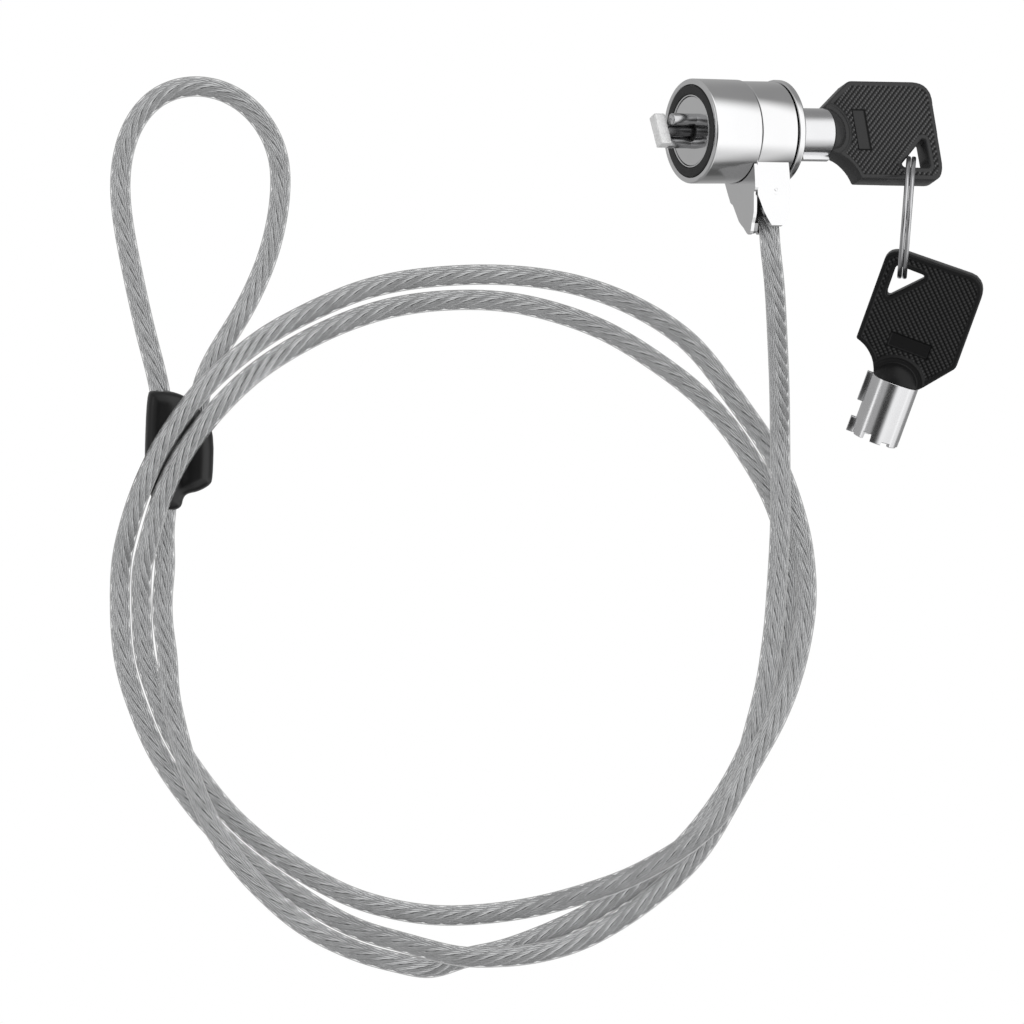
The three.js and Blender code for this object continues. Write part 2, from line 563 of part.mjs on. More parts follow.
function addCollar() {
  const barrelClearance = rod(PLATE_ARC_R, 9, COLLAR_FRONT, 30);
  const legFront = slab(mirrored(LEG_FRONT_HALF), PLATE_BACK, COLLAR_FRONT + OVERLAP);
  const plate = slab(mirrored(PLATE_HALF), PLATE_FRONT, PLATE_BACK + OVERLAP);
  const collar = rod(COLLAR_R, COLLAR_FRONT, COLLAR_BACK, 30)
    .add(slab(mirrored(LEG_HALF), COLLAR_FRONT, LEG_BACK))
    .subtract(rod(COLLAR_BORE_R, 9, 20, 30))
    .add(legFront.subtract(barrelClearance))
    .subtract(slab(mirrored(CAVITY_HALF), PLATE_BACK, 16.95))
    .subtract(crossSlab(WINDOW, 1.5, 7.5))
    .subtract(crossSlab(WINDOW, -7.5, -1.5))
    .add(plate.subtract(barrelClearance))
    .add(slab(mirrored(LIP_HALF), PLATE_BACK, 11.1))
    .subtract(crossSlab(HEEL, -8, 8))
    .subtract(solid(pivotCylinder(YOKE_PIN_R + 0.12, 14)));
  add('swivel_collar', collar, CHROME, yoke);
}

// pin across the leg, and the cable's end fitting hung on it
function addYokePinAndFerrule() {
  add('yoke_pin', pivotCylinder(YOKE_PIN_R, 9.2), STEEL, yoke);
  const ferrule = legCylinder(2.4, 11.5, 16.2)
    .subtract(solid(pivotCylinder(YOKE_PIN_R + 0.13, 8)))
    .subtract(legCylinder(2.12, 14.2, 18.2));
  add('cable_end_ferrule', ferrule, STEEL, yoke);
}

// ---------------------------------------------------------------- keys
// Key frame: +Y from the tube to the bow, +X across the bow, origin on the shoulder.
const BOW_THICKNESS = 4.1;
const BOW_ROLL = 20;                   // inserted key's roll about the lock axis, degrees
const SPARE_SHOULDER = [65.95, 27.28]; // x, y
const SPARE_LEAN = 20.2;               // degrees from +Y towards +X
const SPARE_TILT = 9;                  // degrees up from the table
const BOW_OUTLINE = [                  // [x, y]
  [-4.24, -0.36], [-5.28, 2.07], [-6.61, 3.65], [-8.0, 4.64], [-9.75, 5.32], [-9.94, 21.15],
  [-9.6, 22.45], [-8.8, 23.35], [-6.67, 24.0], [6.61, 24.26], [8.66, 23.54], [9.63, 22.12],
  [9.9, 20.14], [9.96, 7.09], [9.8, 6.29], [5.43, 0.82], [4.64, 0.13],
];
const BOW_HOLE = [
  [-7.05, 15.2], [-7.3, 15.8], [-7.4, 20.6], [-7.0, 21.2], [-2.1, 21.15], [-1.6, 20.6],
  [-1.9, 20.2], [-6.6, 15.2],
];

// tube with two ribs on its -X side, a flat tang into the bow and the bitting cuts
function keyTube(cuts) {
  const ribX = [-TUBE_R - 1.0, -TUBE_R + 0.5];
  let body = solid(lathe([
    [TUBE_BORE_R, -TUBE_LENGTH], [TUBE_R, -TUBE_LENGTH], [TUBE_R, -0.08], [0, -0.08],
    [0, -1.2], [TUBE_BORE_R, -1.2],
  ], 24))
    .add(block(...ribX, -TUBE_LENGTH, -TUBE_LENGTH + 2.9, -0.75, 0.75))
    .add(block(...ribX, -5.9, -0.08, -0.6, 0.6))
    .add(block(-3.0, 3.0, -1, 9, -0.55, 0.55));
  for (const { depth, angle } of cuts) {
    const notch = block(-0.85, 0.85, -TUBE_LENGTH - 1, -TUBE_LENGTH + depth, 2.6, 5.2);
    body = body.subtract(notch.rotate([0, angle, 0]));
  }
  return body;
}

// domed bow with a hole, a shallow recess in each face and a slot for the tang
function keyBow() {
  const half = BOW_THICKNESS / 2;
  return bevelled(BOW_OUTLINE, -half, half, 0.3, 1)
    .add(solid(new THREE.SphereGeometry(4.6, 16, 8)))
    .intersect(block(-12, 12, 0.05, 30, -6, 6))
    .subtract(slab(BOW_HOLE, -3, 3))
    .subtract(block(-3.9, 3.9, 6.26, 8.66, half - 0.25, 5))
    .subtract(block(-3.9, 3.9, 6.26, 8.66, -5, 0.25 - half))
    .subtract(block(-3.2, 3.2, -1, 9.2, -0.75, 0.75));
}

function addKeyParts(prefix, parent, cuts) {
  add(`${prefix}_tube`, keyTube(cuts), STEEL, parent);
  add(`${prefix}_bow`, keyBow(), BLACK, parent);
}

function placeKey() {
  const key = group(lock);
  const acrossBow = vec3(-Math.sin(BOW_ROLL * DEGREE), Math.cos(BOW_ROLL * DEGREE), 0);
  orient(key, acrossBow, vec3(0, 0, -1));
  key.position.set(0, 0, -KEY_SHOULDER_DEPTH);
  key.updateMatrix();
  return key;
}

// depth and angle of the cuts, from the key pins' places seen in the inserted key's frame
function bittingCuts(key) {
  const toKey = key.matrix.clone().invert();
  return BITTING.map((depth, i) => {
    const place = vec3(...pinPlace(i, TURN), -KEY_MOUTH_DEPTH).applyMatrix4(toKey);
    return { depth, angle: Math.atan2(place.x, place.z) / DEGREE };
  });
}

// The spare key rests on its tube's mouth, bow raised.
function placeSpareKey() {
  const spare = group(root);
  const lean = SPARE_LEAN * DEGREE;
  const tilt = SPARE_TILT * DEGREE;
  const acrossBow = vec3(Math.cos(lean), -Math.sin(lean), 0);
  const towardsBow = vec3(
    Math.sin(lean) * Math.cos(tilt),
    Math.cos(lean) * Math.cos(tilt),
    Math.sin(tilt),
  );
  orient(spare, acrossBow, towardsBow);
  const height = TUBE_LENGTH * Math.sin(tilt) + TUBE_R * Math.cos(tilt) + 0.03;
  spare.position.set(...SPARE_SHOULDER, height);
  return spare;
}

// ---------------------------------------------------------------- split ring
const SPLIT_R = 11.2;
const SPLIT_WIRE = { radius: 0.45, steps: 56, sides: 6 };
const SPLIT_PITCH = 0.97;              // between the two turns
const SPLIT_CENTRE = [68.05, 58.24];   // x, y
const SPLIT_LEAN = 4.5 * DEGREE;       // ring plane's turn from +Y towards +X

// two side-by-side turns of wire with one step between them, at the bottom
class SplitRingCurve extends THREE.Curve {
  getPoint(t, target = new THREE.Vector3()) {
    const angle = 20 + 680 * t;
    const step = THREE.MathUtils.smoothstep(angle, 340, 380);
    return target.set(
      SPLIT_R * Math.sin(angle * DEGREE),
      -SPLIT_R * Math.cos(angle * DEGREE),
      (step - 0.5) * SPLIT_PITCH,
    );
  }
}

function addSplitRing() {
  const ring = group(root);
  orient(ring, vec3(Math.sin(SPLIT_LEAN), Math.cos(SPLIT_LEAN), 0), vec3(0, 0, 1));
  ring.position.set(...SPLIT_CENTRE, SPLIT_R + SPLIT_WIRE.radius + 0.06);
  add('split_ring', swept(new SplitRingCurve(), SPLIT_WIRE), STEEL, ring);
  return ring;
}

// ---------------------------------------------------------------- assembly
addCable();
addLoopFittings();
addFrontBarrel();
addNose();
addCasing();
addRearRing();
addDrivers();
addRotor();
addTBar();
addCollar();
addYokePinAndFerrule();
const key = placeKey();
const cuts = bittingCuts(key);
addKeyParts('key', key, cuts);
const spare = placeSpareKey();
addKeyParts('spare_key', spare, cuts);
const ring = addSplitRing();

// joint centres and directions, for whoever assembles the joints
root.updateMatrixWorld(true);
const worldPoint = (frame, x, y, z) => frame.localToWorld(vec3(x, y, z));
const centre = (...place) => worldPoint(...place).toArray();
const direction = (frame, x, y, z) =>
  worldPoint(frame, x, y, z).sub(worldPoint(frame, 0, 0, 0)).toArray();
root.userData.frames = {
  face: centre(lock, 0, 0, 0),
  axis: axis.toArray(),
  side: side.toArray(),
  up: up.toArray(),
  pivot: centre(yoke, 0, PIVOT_RADIUS, -LEG_MID_DEPTH),
  pivotAxis: direction(yoke, 1, 0, 0),
  ring: centre(ring, 0, 0, 0),
  ringNormal: direction(ring, 0, 0, 1),
  ringAtKey: centre(ring, SPLIT_R, 0, 0),
  ringAtSpare: centre(ring, -SPLIT_R, 0, 0),
  spareNormal: direction(spare, 0, 0, 1),
  keyNormal: direction(key, 0, 0, 1),
};

export default root;
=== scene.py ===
"""Laptop cable lock: a coiled wire-rope cable with a crimp sleeve, the lock head with its
swivelling collar leg and T-bar, a key in the lock, a spare key and a split ring.

Lengths are in mm until a mesh is stored in metres. The set lies on the XY plane with +Z up;
the lock head leans, its face turned towards -X and up.
"""
import math

import bmesh
import bpy
import numpy as np
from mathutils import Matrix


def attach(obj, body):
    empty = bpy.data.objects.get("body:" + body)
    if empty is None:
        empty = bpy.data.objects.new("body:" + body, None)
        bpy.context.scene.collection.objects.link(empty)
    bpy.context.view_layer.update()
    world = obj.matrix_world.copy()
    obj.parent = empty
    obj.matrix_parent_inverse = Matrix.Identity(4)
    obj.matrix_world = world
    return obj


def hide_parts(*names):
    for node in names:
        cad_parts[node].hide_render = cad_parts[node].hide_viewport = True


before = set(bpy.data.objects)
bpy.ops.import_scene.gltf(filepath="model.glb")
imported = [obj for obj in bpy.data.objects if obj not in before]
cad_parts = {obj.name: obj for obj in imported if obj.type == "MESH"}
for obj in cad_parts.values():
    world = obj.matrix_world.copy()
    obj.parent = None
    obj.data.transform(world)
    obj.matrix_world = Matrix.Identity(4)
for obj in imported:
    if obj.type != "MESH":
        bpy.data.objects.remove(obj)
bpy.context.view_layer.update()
scene = bpy.context.scene
MM = 0.001
RAD = math.pi / 180
ORIGIN = np.array([-0.3297, -0.6431, -0.044])   # the object frame's origin in layout coordinates


# ---------------------------------------------------------------- vectors and frames
def unit(v):
    v = np.asarray(v, float)
    return v / np.linalg.norm(v)


def basis(ex, ey, ez, origin):
    """function that carries local points into the object frame"""
    axes = np.array([ex, ey, ez], float)
    return lambda points: np.asarray(points, float) @ axes + np.asarray(origin, float)


def smooth01(x):
    x = np.clip(x, 0, 1)
    return x * x * (3 - 2 * x)


# Lock frame: z leaves the face along the lock's axis, depths count backwards from the face
FACE = np.array([26.885, 74.67, 33.0]) - ORIGIN
AXIS_RISE = 31 * RAD    # above the XY plane
AXIS_YAW = 0.8 * RAD    # from -X towards +Y
axis = np.array([-math.cos(AXIS_RISE) * math.cos(AXIS_YAW),
                 math.cos(AXIS_RISE) * math.sin(AXIS_YAW),
                 math.sin(AXIS_RISE)])
side = unit(np.cross([0, 1, 0], axis))
up = unit(np.cross(axis, side))
LOCK = basis(side, up, axis, FACE)


def turn(degrees):
    """side and up, turned about the lock's axis"""
    c, s = math.cos(degrees * RAD), math.sin(degrees * RAD)
    return c * side + s * up, -s * side + c * up


# Yoke frame: x across the collar's leg, y outwards along it, z the lock's axis
LEG_ANGLE = -72
LEG_DEPTH = 14.2        # the leg's middle, behind the face
PIVOT_RADIUS = 13.0
yoke_x, yoke_y = turn(LEG_ANGLE - 90)
YOKE = basis(yoke_x, yoke_y, axis, FACE)

# Key frame: x across the bow, y from the tube's shoulder to the bow's end, z its thickness
TUBE_LENGTH = 12.1
TUBE_RADIUS = 4.65
TUBE_BORE = 3.8
TUBE_FLOOR = 1.2        # the bore ends this far from the shoulder
SHOULDER_GAP = 0.03
KEY_DEPTH = 29.6        # the key's origin, behind the face
KEY_ROLL = 20
key_x = turn(KEY_ROLL)[1]
key_y = -axis
key_z = np.cross(key_x, key_y)
KEY = basis(key_x, key_y, key_z, FACE - axis * KEY_DEPTH)

# The spare key stands tilted on its tube's end
SPARE_LEAN, SPARE_TILT = 20.2 * RAD, 9 * RAD
SPARE_GAP = 0.03
spare_x = np.array([math.cos(SPARE_LEAN), -math.sin(SPARE_LEAN), 0])
spare_y = np.array([math.sin(SPARE_LEAN) * math.cos(SPARE_TILT),
                    math.cos(SPARE_LEAN) * math.cos(SPARE_TILT),
                    math.sin(SPARE_TILT)])
spare_z = TUBE_LENGTH * math.sin(SPARE_TILT) + TUBE_RADIUS * math.cos(SPARE_TILT) + SPARE_GAP
SPARE = basis(spare_x, spare_y, np.cross(spare_x, spare_y),
              np.array([65.95, 27.28, spare_z]) - ORIGIN)


# ---------------------------------------------------------------- meshes from arrays
def shade(mesh, sharp=None, smooth=True):
    """smooth or flat faces, with sharp edges above an angle in degrees"""
    mesh.polygons.foreach_set("use_smooth", np.full(len(mesh.polygons), smooth))
    if sharp:
        mesh.set_sharp_from_angle(angle=sharp * RAD)


def assign(ob, material, body, replaces):
    ob.data.materials.append(material)
    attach(ob, body)
    if replaces:
        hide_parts(replaces)


def make(name, verts, faces, material, body, replaces=None, sharp=None):
    """verts in mm (object frame); faces is a list of (n, k) arrays"""
    mesh = bpy.data.meshes.new(name)
    co = (np.asarray(verts, float) * MM).astype(np.float32)
    mesh.vertices.add(len(co))
    mesh.vertices.foreach_set("co", co.ravel())
    loops = np.concatenate([f.astype(np.int32).ravel() for f in faces])
    sizes = np.concatenate([np.full(len(f), f.shape[1], np.int32) for f in faces])
    starts = np.concatenate([[0], np.cumsum(sizes)[:-1]]).astype(np.int32)
    mesh.loops.add(len(loops))
    mesh.loops.foreach_set("vertex_index", loops)
    mesh.polygons.add(len(sizes))
    mesh.polygons.foreach_set("loop_start", starts)
    mesh.polygons.foreach_set("loop_total", sizes)
    mesh.update(calc_edges=True)
    mesh.validate()
    shade(mesh, sharp)
    ob = bpy.data.objects.new(name, mesh)
    scene.collection.objects.link(ob)
    assign(ob, material, body, replaces)
    return ob


def face_out(verts, quads):
    """the quads, flipped if they enclose a negative volume"""
    a, b, c, d = (verts[quads[:, k]] for k in range(4))
    volume = np.einsum("ij,ij->i", a, np.cross(b, c)).sum()
    volume += np.einsum("ij,ij->i", a, np.cross(c, d)).sum()
    return quads if volume > 0 else quads[:, ::-1]


def wrap_quads(rounds, stations):
    """quads of a closed profile carried right round an axis"""
    i, j = np.meshgrid(np.arange(rounds), np.arange(stations), indexing="ij")
    i2, j2 = (i + 1) % rounds, (j + 1) % stations
    n = stations
    return np.stack([i * n + j, i2 * n + j, i2 * n + j2, i * n + j2], -1).reshape(-1, 4)


def fillet(corners, arc_steps):
    """closed profile from (radius, depth, fillet) corners; fillet 0 keeps a corner sharp"""
    points = []
    table = np.array(corners, float)
    n = len(table)
    for k in range(n):
        before, corner, after = (table[(k + d) % n, :2] for d in (-1, 0, 1))
        r = table[k, 2]
        if r <= 0:
            points.append(tuple(corner))
            continue
        u, w = unit(before - corner), unit(after - corner)
        angle = math.acos(max(-1, min(1, float(u @ w))))
        reach = r / math.tan(angle / 2)
        centre = corner + unit(u + w) * (r / math.sin(angle / 2))
        start = math.atan2(*(corner + u * reach - centre)[::-1])
        end = math.atan2(*(corner + w * reach - centre)[::-1])
        while end - start > math.pi:
            end -= 2 * math.pi
        while end - start < -math.pi:
            end += 2 * math.pi
        for s in range(arc_steps + 1):
            t = start + (end - start) * s / arc_steps
            points.append((centre[0] + r * math.cos(t), centre[1] + r * math.sin(t)))
    return points


def turned_part(name, corners, material, body, replaces=None,
                arc_steps=3, segments=160, place=LOCK, sharp=28):
    """(radius, depth, fillet) corners revolved about the frame's z; depth runs towards -z"""
    p = np.array(fillet(corners, arc_steps), float)
    a = np.arange(segments) * 2 * math.pi / segments
    verts = place(np.stack([np.outer(np.cos(a), p[:, 0]),
                            np.outer(np.sin(a), p[:, 0]),
                            np.tile(-p[:, 1], (segments, 1))], -1).reshape(-1, 3))
    quads = face_out(verts, wrap_quads(segments, len(p)))
    make(name, verts, [quads], material, body, replaces, sharp)


def sweep(path, normals, binormals, section):
    """section: offsets along normal and binormal; returns verts, side quads and two end caps"""
    n, k = len(path), len(section)
    verts = (path[:, None, :] + section[None, :, 0:1] * normals[:, None, :]
             + section[None, :, 1:2] * binormals[:, None, :])
    i, j = np.meshgrid(np.arange(n - 1), np.arange(k), indexing="ij")
    j2 = (j + 1) % k
    quads = np.stack([i * k + j, i * k + j2, (i + 1) * k + j2, (i + 1) * k + j], -1)
    caps = [np.arange(k)[::-1][None, :], (np.arange(k) + (n - 1) * k)[None, :]]
    return verts.reshape(-1, 3), quads.reshape(-1, 4), caps


def round_section(radius, sides):
    a = np.arange(sides) * 2 * math.pi / sides
    return np.stack([radius * np.cos(a), radius * np.sin(a)], -1)


def signed_distance(points, polygon):
    """distance to a closed polygon, negative inside"""
    starts = np.asarray(polygon, float)
    best = np.full(len(points), 1e9)
    inside = np.zeros(len(points), bool)
    for a, b in zip(starts, np.roll(starts, -1, 0)):
        ab = b - a
        t = np.clip(((points - a) @ ab) / (ab @ ab), 0, 1)
        best = np.minimum(best, np.hypot(*(points - a - t[:, None] * ab).T))
        spans = (a[1] > points[:, 1]) != (b[1] > points[:, 1])
        # a level side divides by zero, but it never spans a point
        with np.errstate(divide="ignore", invalid="ignore"):
            crossing = (b[0] - a[0]) * (points[:, 1] - a[1]) / (b[1] - a[1]) + a[0]
        inside ^= spans & (points[:, 0] < crossing)
    return np.where(inside, -best, best)


def plan_grid(outline, holes, pitch):
    """square grid over an outline, its rim drawn onto the edge: x, y, distance inside, quads"""
    pull_rounds, pull, probe, least_slope = 4, 0.9, 1e-3, 0.3
    o = np.array(outline, float)
    low, high = o.min(0) - 2 * pitch, o.max(0) + 2 * pitch
    nx, ny = (np.ceil((high - low) / pitch)).astype(int) + 1
    grid_x, grid_y = np.meshgrid(low[0] + np.arange(nx) * pitch,
                                 low[1] + np.arange(ny) * pitch, indexing="ij")

    def distance(x, y):
        p = np.stack([x.ravel(), y.ravel()], -1)
        d = signed_distance(p, outline)
        for hole in holes:
            d = np.maximum(d, -signed_distance(p, hole))
        return d.reshape(x.shape)

    kept = distance(grid_x[:-1, :-1] + pitch / 2, grid_y[:-1, :-1] + pitch / 2) < 0
    index = np.arange(nx * ny).reshape(nx, ny)
    i, j = np.nonzero(kept)
    quads = np.stack([index[i, j], index[i + 1, j], index[i + 1, j + 1], index[i, j + 1]], -1)
    padded = np.zeros((nx + 1, ny + 1), int)
    padded[1:-1, 1:-1] = kept
    cells = padded[:-1, :-1] + padded[1:, :-1] + padded[:-1, 1:] + padded[1:, 1:]
    rim = ((cells > 0) & (cells < 4)).ravel()
    x, y = grid_x.ravel().copy(), grid_y.ravel().copy()
    for _ in range(pull_rounds):
        rx, ry = x[rim], y[rim]
        d = distance(rx, ry)
        dx = (distance(rx + probe, ry) - distance(rx - probe, ry)) / (2 * probe)
        dy = (distance(rx, ry + probe) - distance(rx, ry - probe)) / (2 * probe)
        slope = np.maximum(np.hypot(dx, dy), least_slope)
        x[rim] = rx - pull * d * dx / slope
        y[rim] = ry - pull * d * dy / slope
    used = np.unique(quads)
    renumber = -np.ones(nx * ny, int)
    renumber[used] = np.arange(len(used))
    x, y = x[used], y[used]
    return x, y, np.maximum(-distance(x, y), 0), renumber[quads]


def slab(x, y, top, bottom, quads):
    """closed solid between two height arrays over a plan grid"""
    n = len(x)
    verts = np.concatenate([np.stack([x, y, top], -1), np.stack([x, y, bottom], -1)])
    edges = np.concatenate([quads[:, [k, (k + 1) % 4]] for k in range(4)])
    keys = edges.min(1) * n + edges.max(1)
    _, which, count = np.unique(keys, return_inverse=True, return_counts=True)
    a, b = edges[count[which] == 1].T
    walls = np.stack([b, a, a + n, b + n], -1)
    return verts, np.concatenate([quads, quads[:, ::-1] + n, walls])


# ---------------------------------------------------------------- solids for cutting
def along_x(z, y, x):
    return x, y, z


def along_z(x, y, z):
    return x, y, z


def prism(outline, low, high, point=along_z, name="tool"):
    """object, still in mm: an outline extruded from low to high"""
    n = len(outline)
    verts = [tuple(map(float, point(a, b, t))) for t in (low, high) for a, b in outline]
    faces = [[i, (i + 1) % n, (i + 1) % n + n, i + n] for i in range(n)]
    faces += [list(range(n))[::-1], list(range(n, 2 * n))]
    mesh = bpy.data.meshes.new(name)
    mesh.from_pydata(verts, [], faces)
    ob = bpy.data.objects.new(name, mesh)
    scene.collection.objects.link(ob)
    bm = bmesh.new()
    bm.from_mesh(mesh)
    bmesh.ops.recalc_face_normals(bm, faces=bm.faces)
    bm.to_mesh(mesh)
    bm.free()
    return ob


def box_outline(x0, x1, y0, y1):
    return [(x0, y0), (x1, y0), (x1, y1), (x0, y1)]


def circle_outline(radius, sides):
    return [(radius * math.cos(360 * i / sides * RAD), radius * math.sin(360 * i / sides * RAD))
            for i in range(sides)]


def mirrored(points):
    """adds the mirror image across x = 0 in reverse order"""
    return points + [(-x, y) for x, y in points[::-1] if x > 0]


def bake_modifier(ob):
    depsgraph = bpy.context.evaluated_depsgraph_get()
    mesh = bpy.data.meshes.new_from_object(ob.evaluated_get(depsgraph))
    ob.modifiers.clear()
    ob.data = mesh


def boolean(ob, tool, operation="DIFFERENCE"):
    modifier = ob.modifiers.new("b", "BOOLEAN")
    modifier.operation = operation
    modifier.solver = "EXACT"
    modifier.object = tool
    bake_modifier(ob)
    bpy.data.objects.remove(tool)


def finish_bevel(ob, width, segments, angle, material, body, place,
                 replaces=None, smooth=True):
    """bevels a solid still in mm, places it and hands it to its body"""
    bevel = ob.modifiers.new("bevel", "BEVEL")
    bevel.width = width
    bevel.segments = segments
    bevel.limit_method = "ANGLE"
    bevel.angle_limit = angle * RAD
    bevel.miter_outer = "MITER_ARC"
    bevel.harden_normals = False
    bake_modifier(ob)
    mesh = ob.data
    co = np.zeros(len(mesh.vertices) * 3)
    mesh.vertices.foreach_get("co", co)
    placed = (place(co.reshape(-1, 3)) * MM).astype(np.float32)
    mesh.vertices.foreach_set("co", placed.ravel())
    mesh.update()
    shade(mesh, sharp=34 if smooth else None, smooth=smooth)
    mesh.materials.clear()
    assign(ob, material, body, replaces)


# ---------------------------------------------------------------- shader helpers
def add_node(tree, kind, inputs=None, **settings):
    """inputs by name or index: a socket is linked, anything else is set"""
    made = tree.nodes.new("ShaderNode" + kind)
    for key, value in settings.items():
        setattr(made, key, value)
    for key, value in (inputs or {}).items():
        if isinstance(value, bpy.types.NodeSocket):
            tree.links.new(value, made.inputs[key])
        else:
            made.inputs[key].default_value = value
    return made


def new_material(name):
    material = bpy.data.materials.new(name)
    material.use_nodes = True
    tree = material.node_tree
    tree.nodes.clear()
    return material, tree, add_node(tree, "OutputMaterial").inputs[0]


def object_coords(tree):
    return add_node(tree, "TexCoord").outputs["Object"]


def noise(tree, coords, scale, detail):
    inputs = {"Vector": coords, "Scale": scale, "Detail": detail}
    return add_node(tree, "TexNoise", inputs).outputs["Fac"]


def ramp(tree, factor, *stops):
    """two (position, grey or RGB) stops"""
    made = add_node(tree, "ValToRGB", {"Fac": factor})
    for element, (position, color) in zip(made.color_ramp.elements, stops):
        rgb = color if isinstance(color, tuple) else (color,) * 3
        element.position = position
        element.color = (*rgb, 1)
    return made.outputs[0]


def map_range(tree, value, low, high, to_low, to_high, **settings):
    inputs = {"Value": value, "From Min": low, "From Max": high,
              "To Min": to_low, "To Max": to_high}
    return add_node(tree, "MapRange", inputs, **settings).outputs[0]


def bump(tree, height, strength, distance):
    inputs = {"Strength": strength, "Distance": distance, "Height": height}
    return add_node(tree, "Bump", inputs).outputs[0]


def mix_shaders(tree, factor, first, second):
    inputs = {0: factor, 1: first.outputs[0], 2: second.outputs[0]}
    return add_node(tree, "MixShader", inputs)


def metal(name, color, rough, spread, scratch=0.0, scale=900.0,
          metallic=1.0, dark=0.93, speck=0.0):
    """spread: roughness range; scratch: bump strength; dark: tint of the darker patches;
    speck: how much the fine specks darken"""
    material, tree, surface = new_material(name)
    coords = object_coords(tree)
    if scratch or speck:
        mapping = add_node(tree, "Mapping", {"Vector": coords})
        grain = noise(tree, mapping.outputs[0], scale, detail=6)
    patches = noise(tree, coords, scale * 0.12, detail=3)
    tint = ramp(tree, patches, (0.25, tuple(c * dark for c in color)), (0.75, color))
    if speck:
        specks = ramp(tree, grain, (0.36, 1.0 - speck), (0.6, 1.0))
        tint = add_node(tree, "Mix", {"Factor": 1.0, 6: tint, 7: specks},
                        data_type="RGBA", blend_type="MULTIPLY").outputs[2]
    roughness = map_range(tree, patches, 0.3, 0.7, max(0.02, rough - spread), rough + spread)
    shader = add_node(tree, "BsdfPrincipled", {
        "Metallic": metallic, "Roughness": roughness, "Base Color": tint})
    if scratch:
        normal = bump(tree, grain, strength=scratch, distance=0.00002)
        tree.links.new(normal, shader.inputs["Normal"])
    tree.links.new(shader.outputs[0], surface)
    return material


def uncolored_plastic(name, rough, grain, scale, depth):
    """grain: bump strength; depth: bump distance in metres"""
    material, tree, surface = new_material(name)
    coords = object_coords(tree)
    fine = noise(tree, coords, scale, detail=5)
    patches = noise(tree, coords, scale * 0.03, detail=4)
    shader = add_node(tree, "BsdfPrincipled", {
        "Roughness": map_range(tree, patches, 0, 1, rough - 0.06, rough + 0.08),
        "Normal": bump(tree, fine, strength=grain, distance=depth)})
    tree.links.new(shader.outputs[0], surface)
    return material, tree, shader, patches


def plastic(name, color, rough, grain, scale, depth):
    material, tree, shader, patches = uncolored_plastic(name, rough, grain, scale, depth)
    tint = ramp(tree, patches,
                (0.3, tuple(c * 0.8 for c in color)), (0.7, tuple(c * 1.2 for c in color)))
    tree.links.new(tint, shader.inputs["Base Color"])
    return material


def bow_plastic_painted_shade(name, crest_painted_grey, crest_shine):
    """painted shade and light: the colour is darkest in the relief's valleys and lighter on its
    crests, after the crest attribute, and the shine follows it too
    """
    material, tree, shader, _ = uncolored_plastic(name, rough=0.33, grain=0.3,
                                                  scale=7000, depth=0.00001)
    crest = add_node(tree, "Attribute", attribute_name="crest").outputs["Fac"]
    # painted shade: near black in the valleys, lighter towards the crests
    tint = ramp(tree, crest, (0.0, (0.0025, 0.0025, 0.0027)),
                (1.0, (crest_painted_grey, crest_painted_grey, crest_painted_grey * 1.02)))
    shine = map_range(tree, crest, 0, 1, 0.1, crest_shine)
    tree.links.new(tint, shader.inputs["Base Color"])
    tree.links.new(shine, shader.inputs["Specular IOR Level"])
    return material


def clear_pvc():
    """see-through, hazier towards grazing angles, with a faint gloss"""
    haze, edge_haze = 0.05, 0.30
    material, tree, surface = new_material("clear_pvc")
    ripple = noise(tree, object_coords(tree), scale=350, detail=3)
    normal = bump(tree, ripple, strength=0.06, distance=0.0001)
    clear = add_node(tree, "BsdfTransparent", {"Color": (0.97, 0.97, 0.97, 1)})
    milky = add_node(tree, "BsdfDiffuse", {"Color": (0.8, 0.805, 0.81, 1)})
    gloss = add_node(tree, "BsdfGlossy", {
        "Roughness": 0.16, "Color": (0.95, 0.95, 0.95, 1), "Normal": normal})
    facing = add_node(tree, "LayerWeight", {"Blend": 0.42}).outputs["Facing"]
    cloud = ramp(tree, facing, (0.35, haze), (1.0, edge_haze))
    fresnel = add_node(tree, "Fresnel", {"IOR": 1.1, "Normal": normal})
    body = mix_shaders(tree, cloud, clear, milky)
    coated = mix_shaders(tree, fresnel.outputs[0], body, gloss)
    tree.links.new(coated.outputs[0], surface)
    return material


# ---------------------------------------------------------------- materials
CHROME = metal("nickel_chrome", (0.86, 0.86, 0.865), rough=0.13, spread=0.035,
               scratch=0.05, scale=500)
# a satin finish that no piece wears
metal("nickel_satin", (0.80, 0.80, 0.81), rough=0.24, spread=0.05, scratch=0.12)
FROSTED = metal("frosted_zinc", (0.86, 0.86, 0.86), rough=0.36, spread=0.08,
                scratch=0.8, scale=5200, metallic=0.55, speck=0.28)
STEEL = metal("bright_steel", (0.78, 0.78, 0.79), rough=0.2, spread=0.03,
              scratch=0.02, scale=1200)
RING_STEEL = metal("ring_steel", (0.60, 0.60, 0.61), rough=0.22, spread=0.06,
                   scratch=0.08, scale=1500)
WIRE = metal("wire_rope", (0.575, 0.58, 0.585), rough=0.14, spread=0.05,
             scratch=0.03, scale=2500, metallic=0.78, dark=0.72)
# the leg's chrome, painted darker on its lip as painted shade
LIP_CHROME_PAINTED_SHADE = metal("lip_chrome_painted_shade", (0.36, 0.36, 0.365), rough=0.25, spread=0.04)
# steel painted dark as painted shade on the T-bar's neck
NECK_STEEL_PAINTED_SHADE = metal("neck_steel_painted_shade", (0.20, 0.20, 0.205), rough=0.26, spread=0.05, scratch=0.05)
# steel painted darker as painted shade along the guide pins
GUIDE_STEEL_PAINTED_SHADE = metal("guide_steel_painted_shade", (0.62, 0.62, 0.63), rough=0.2, spread=0.05, scratch=0.03)
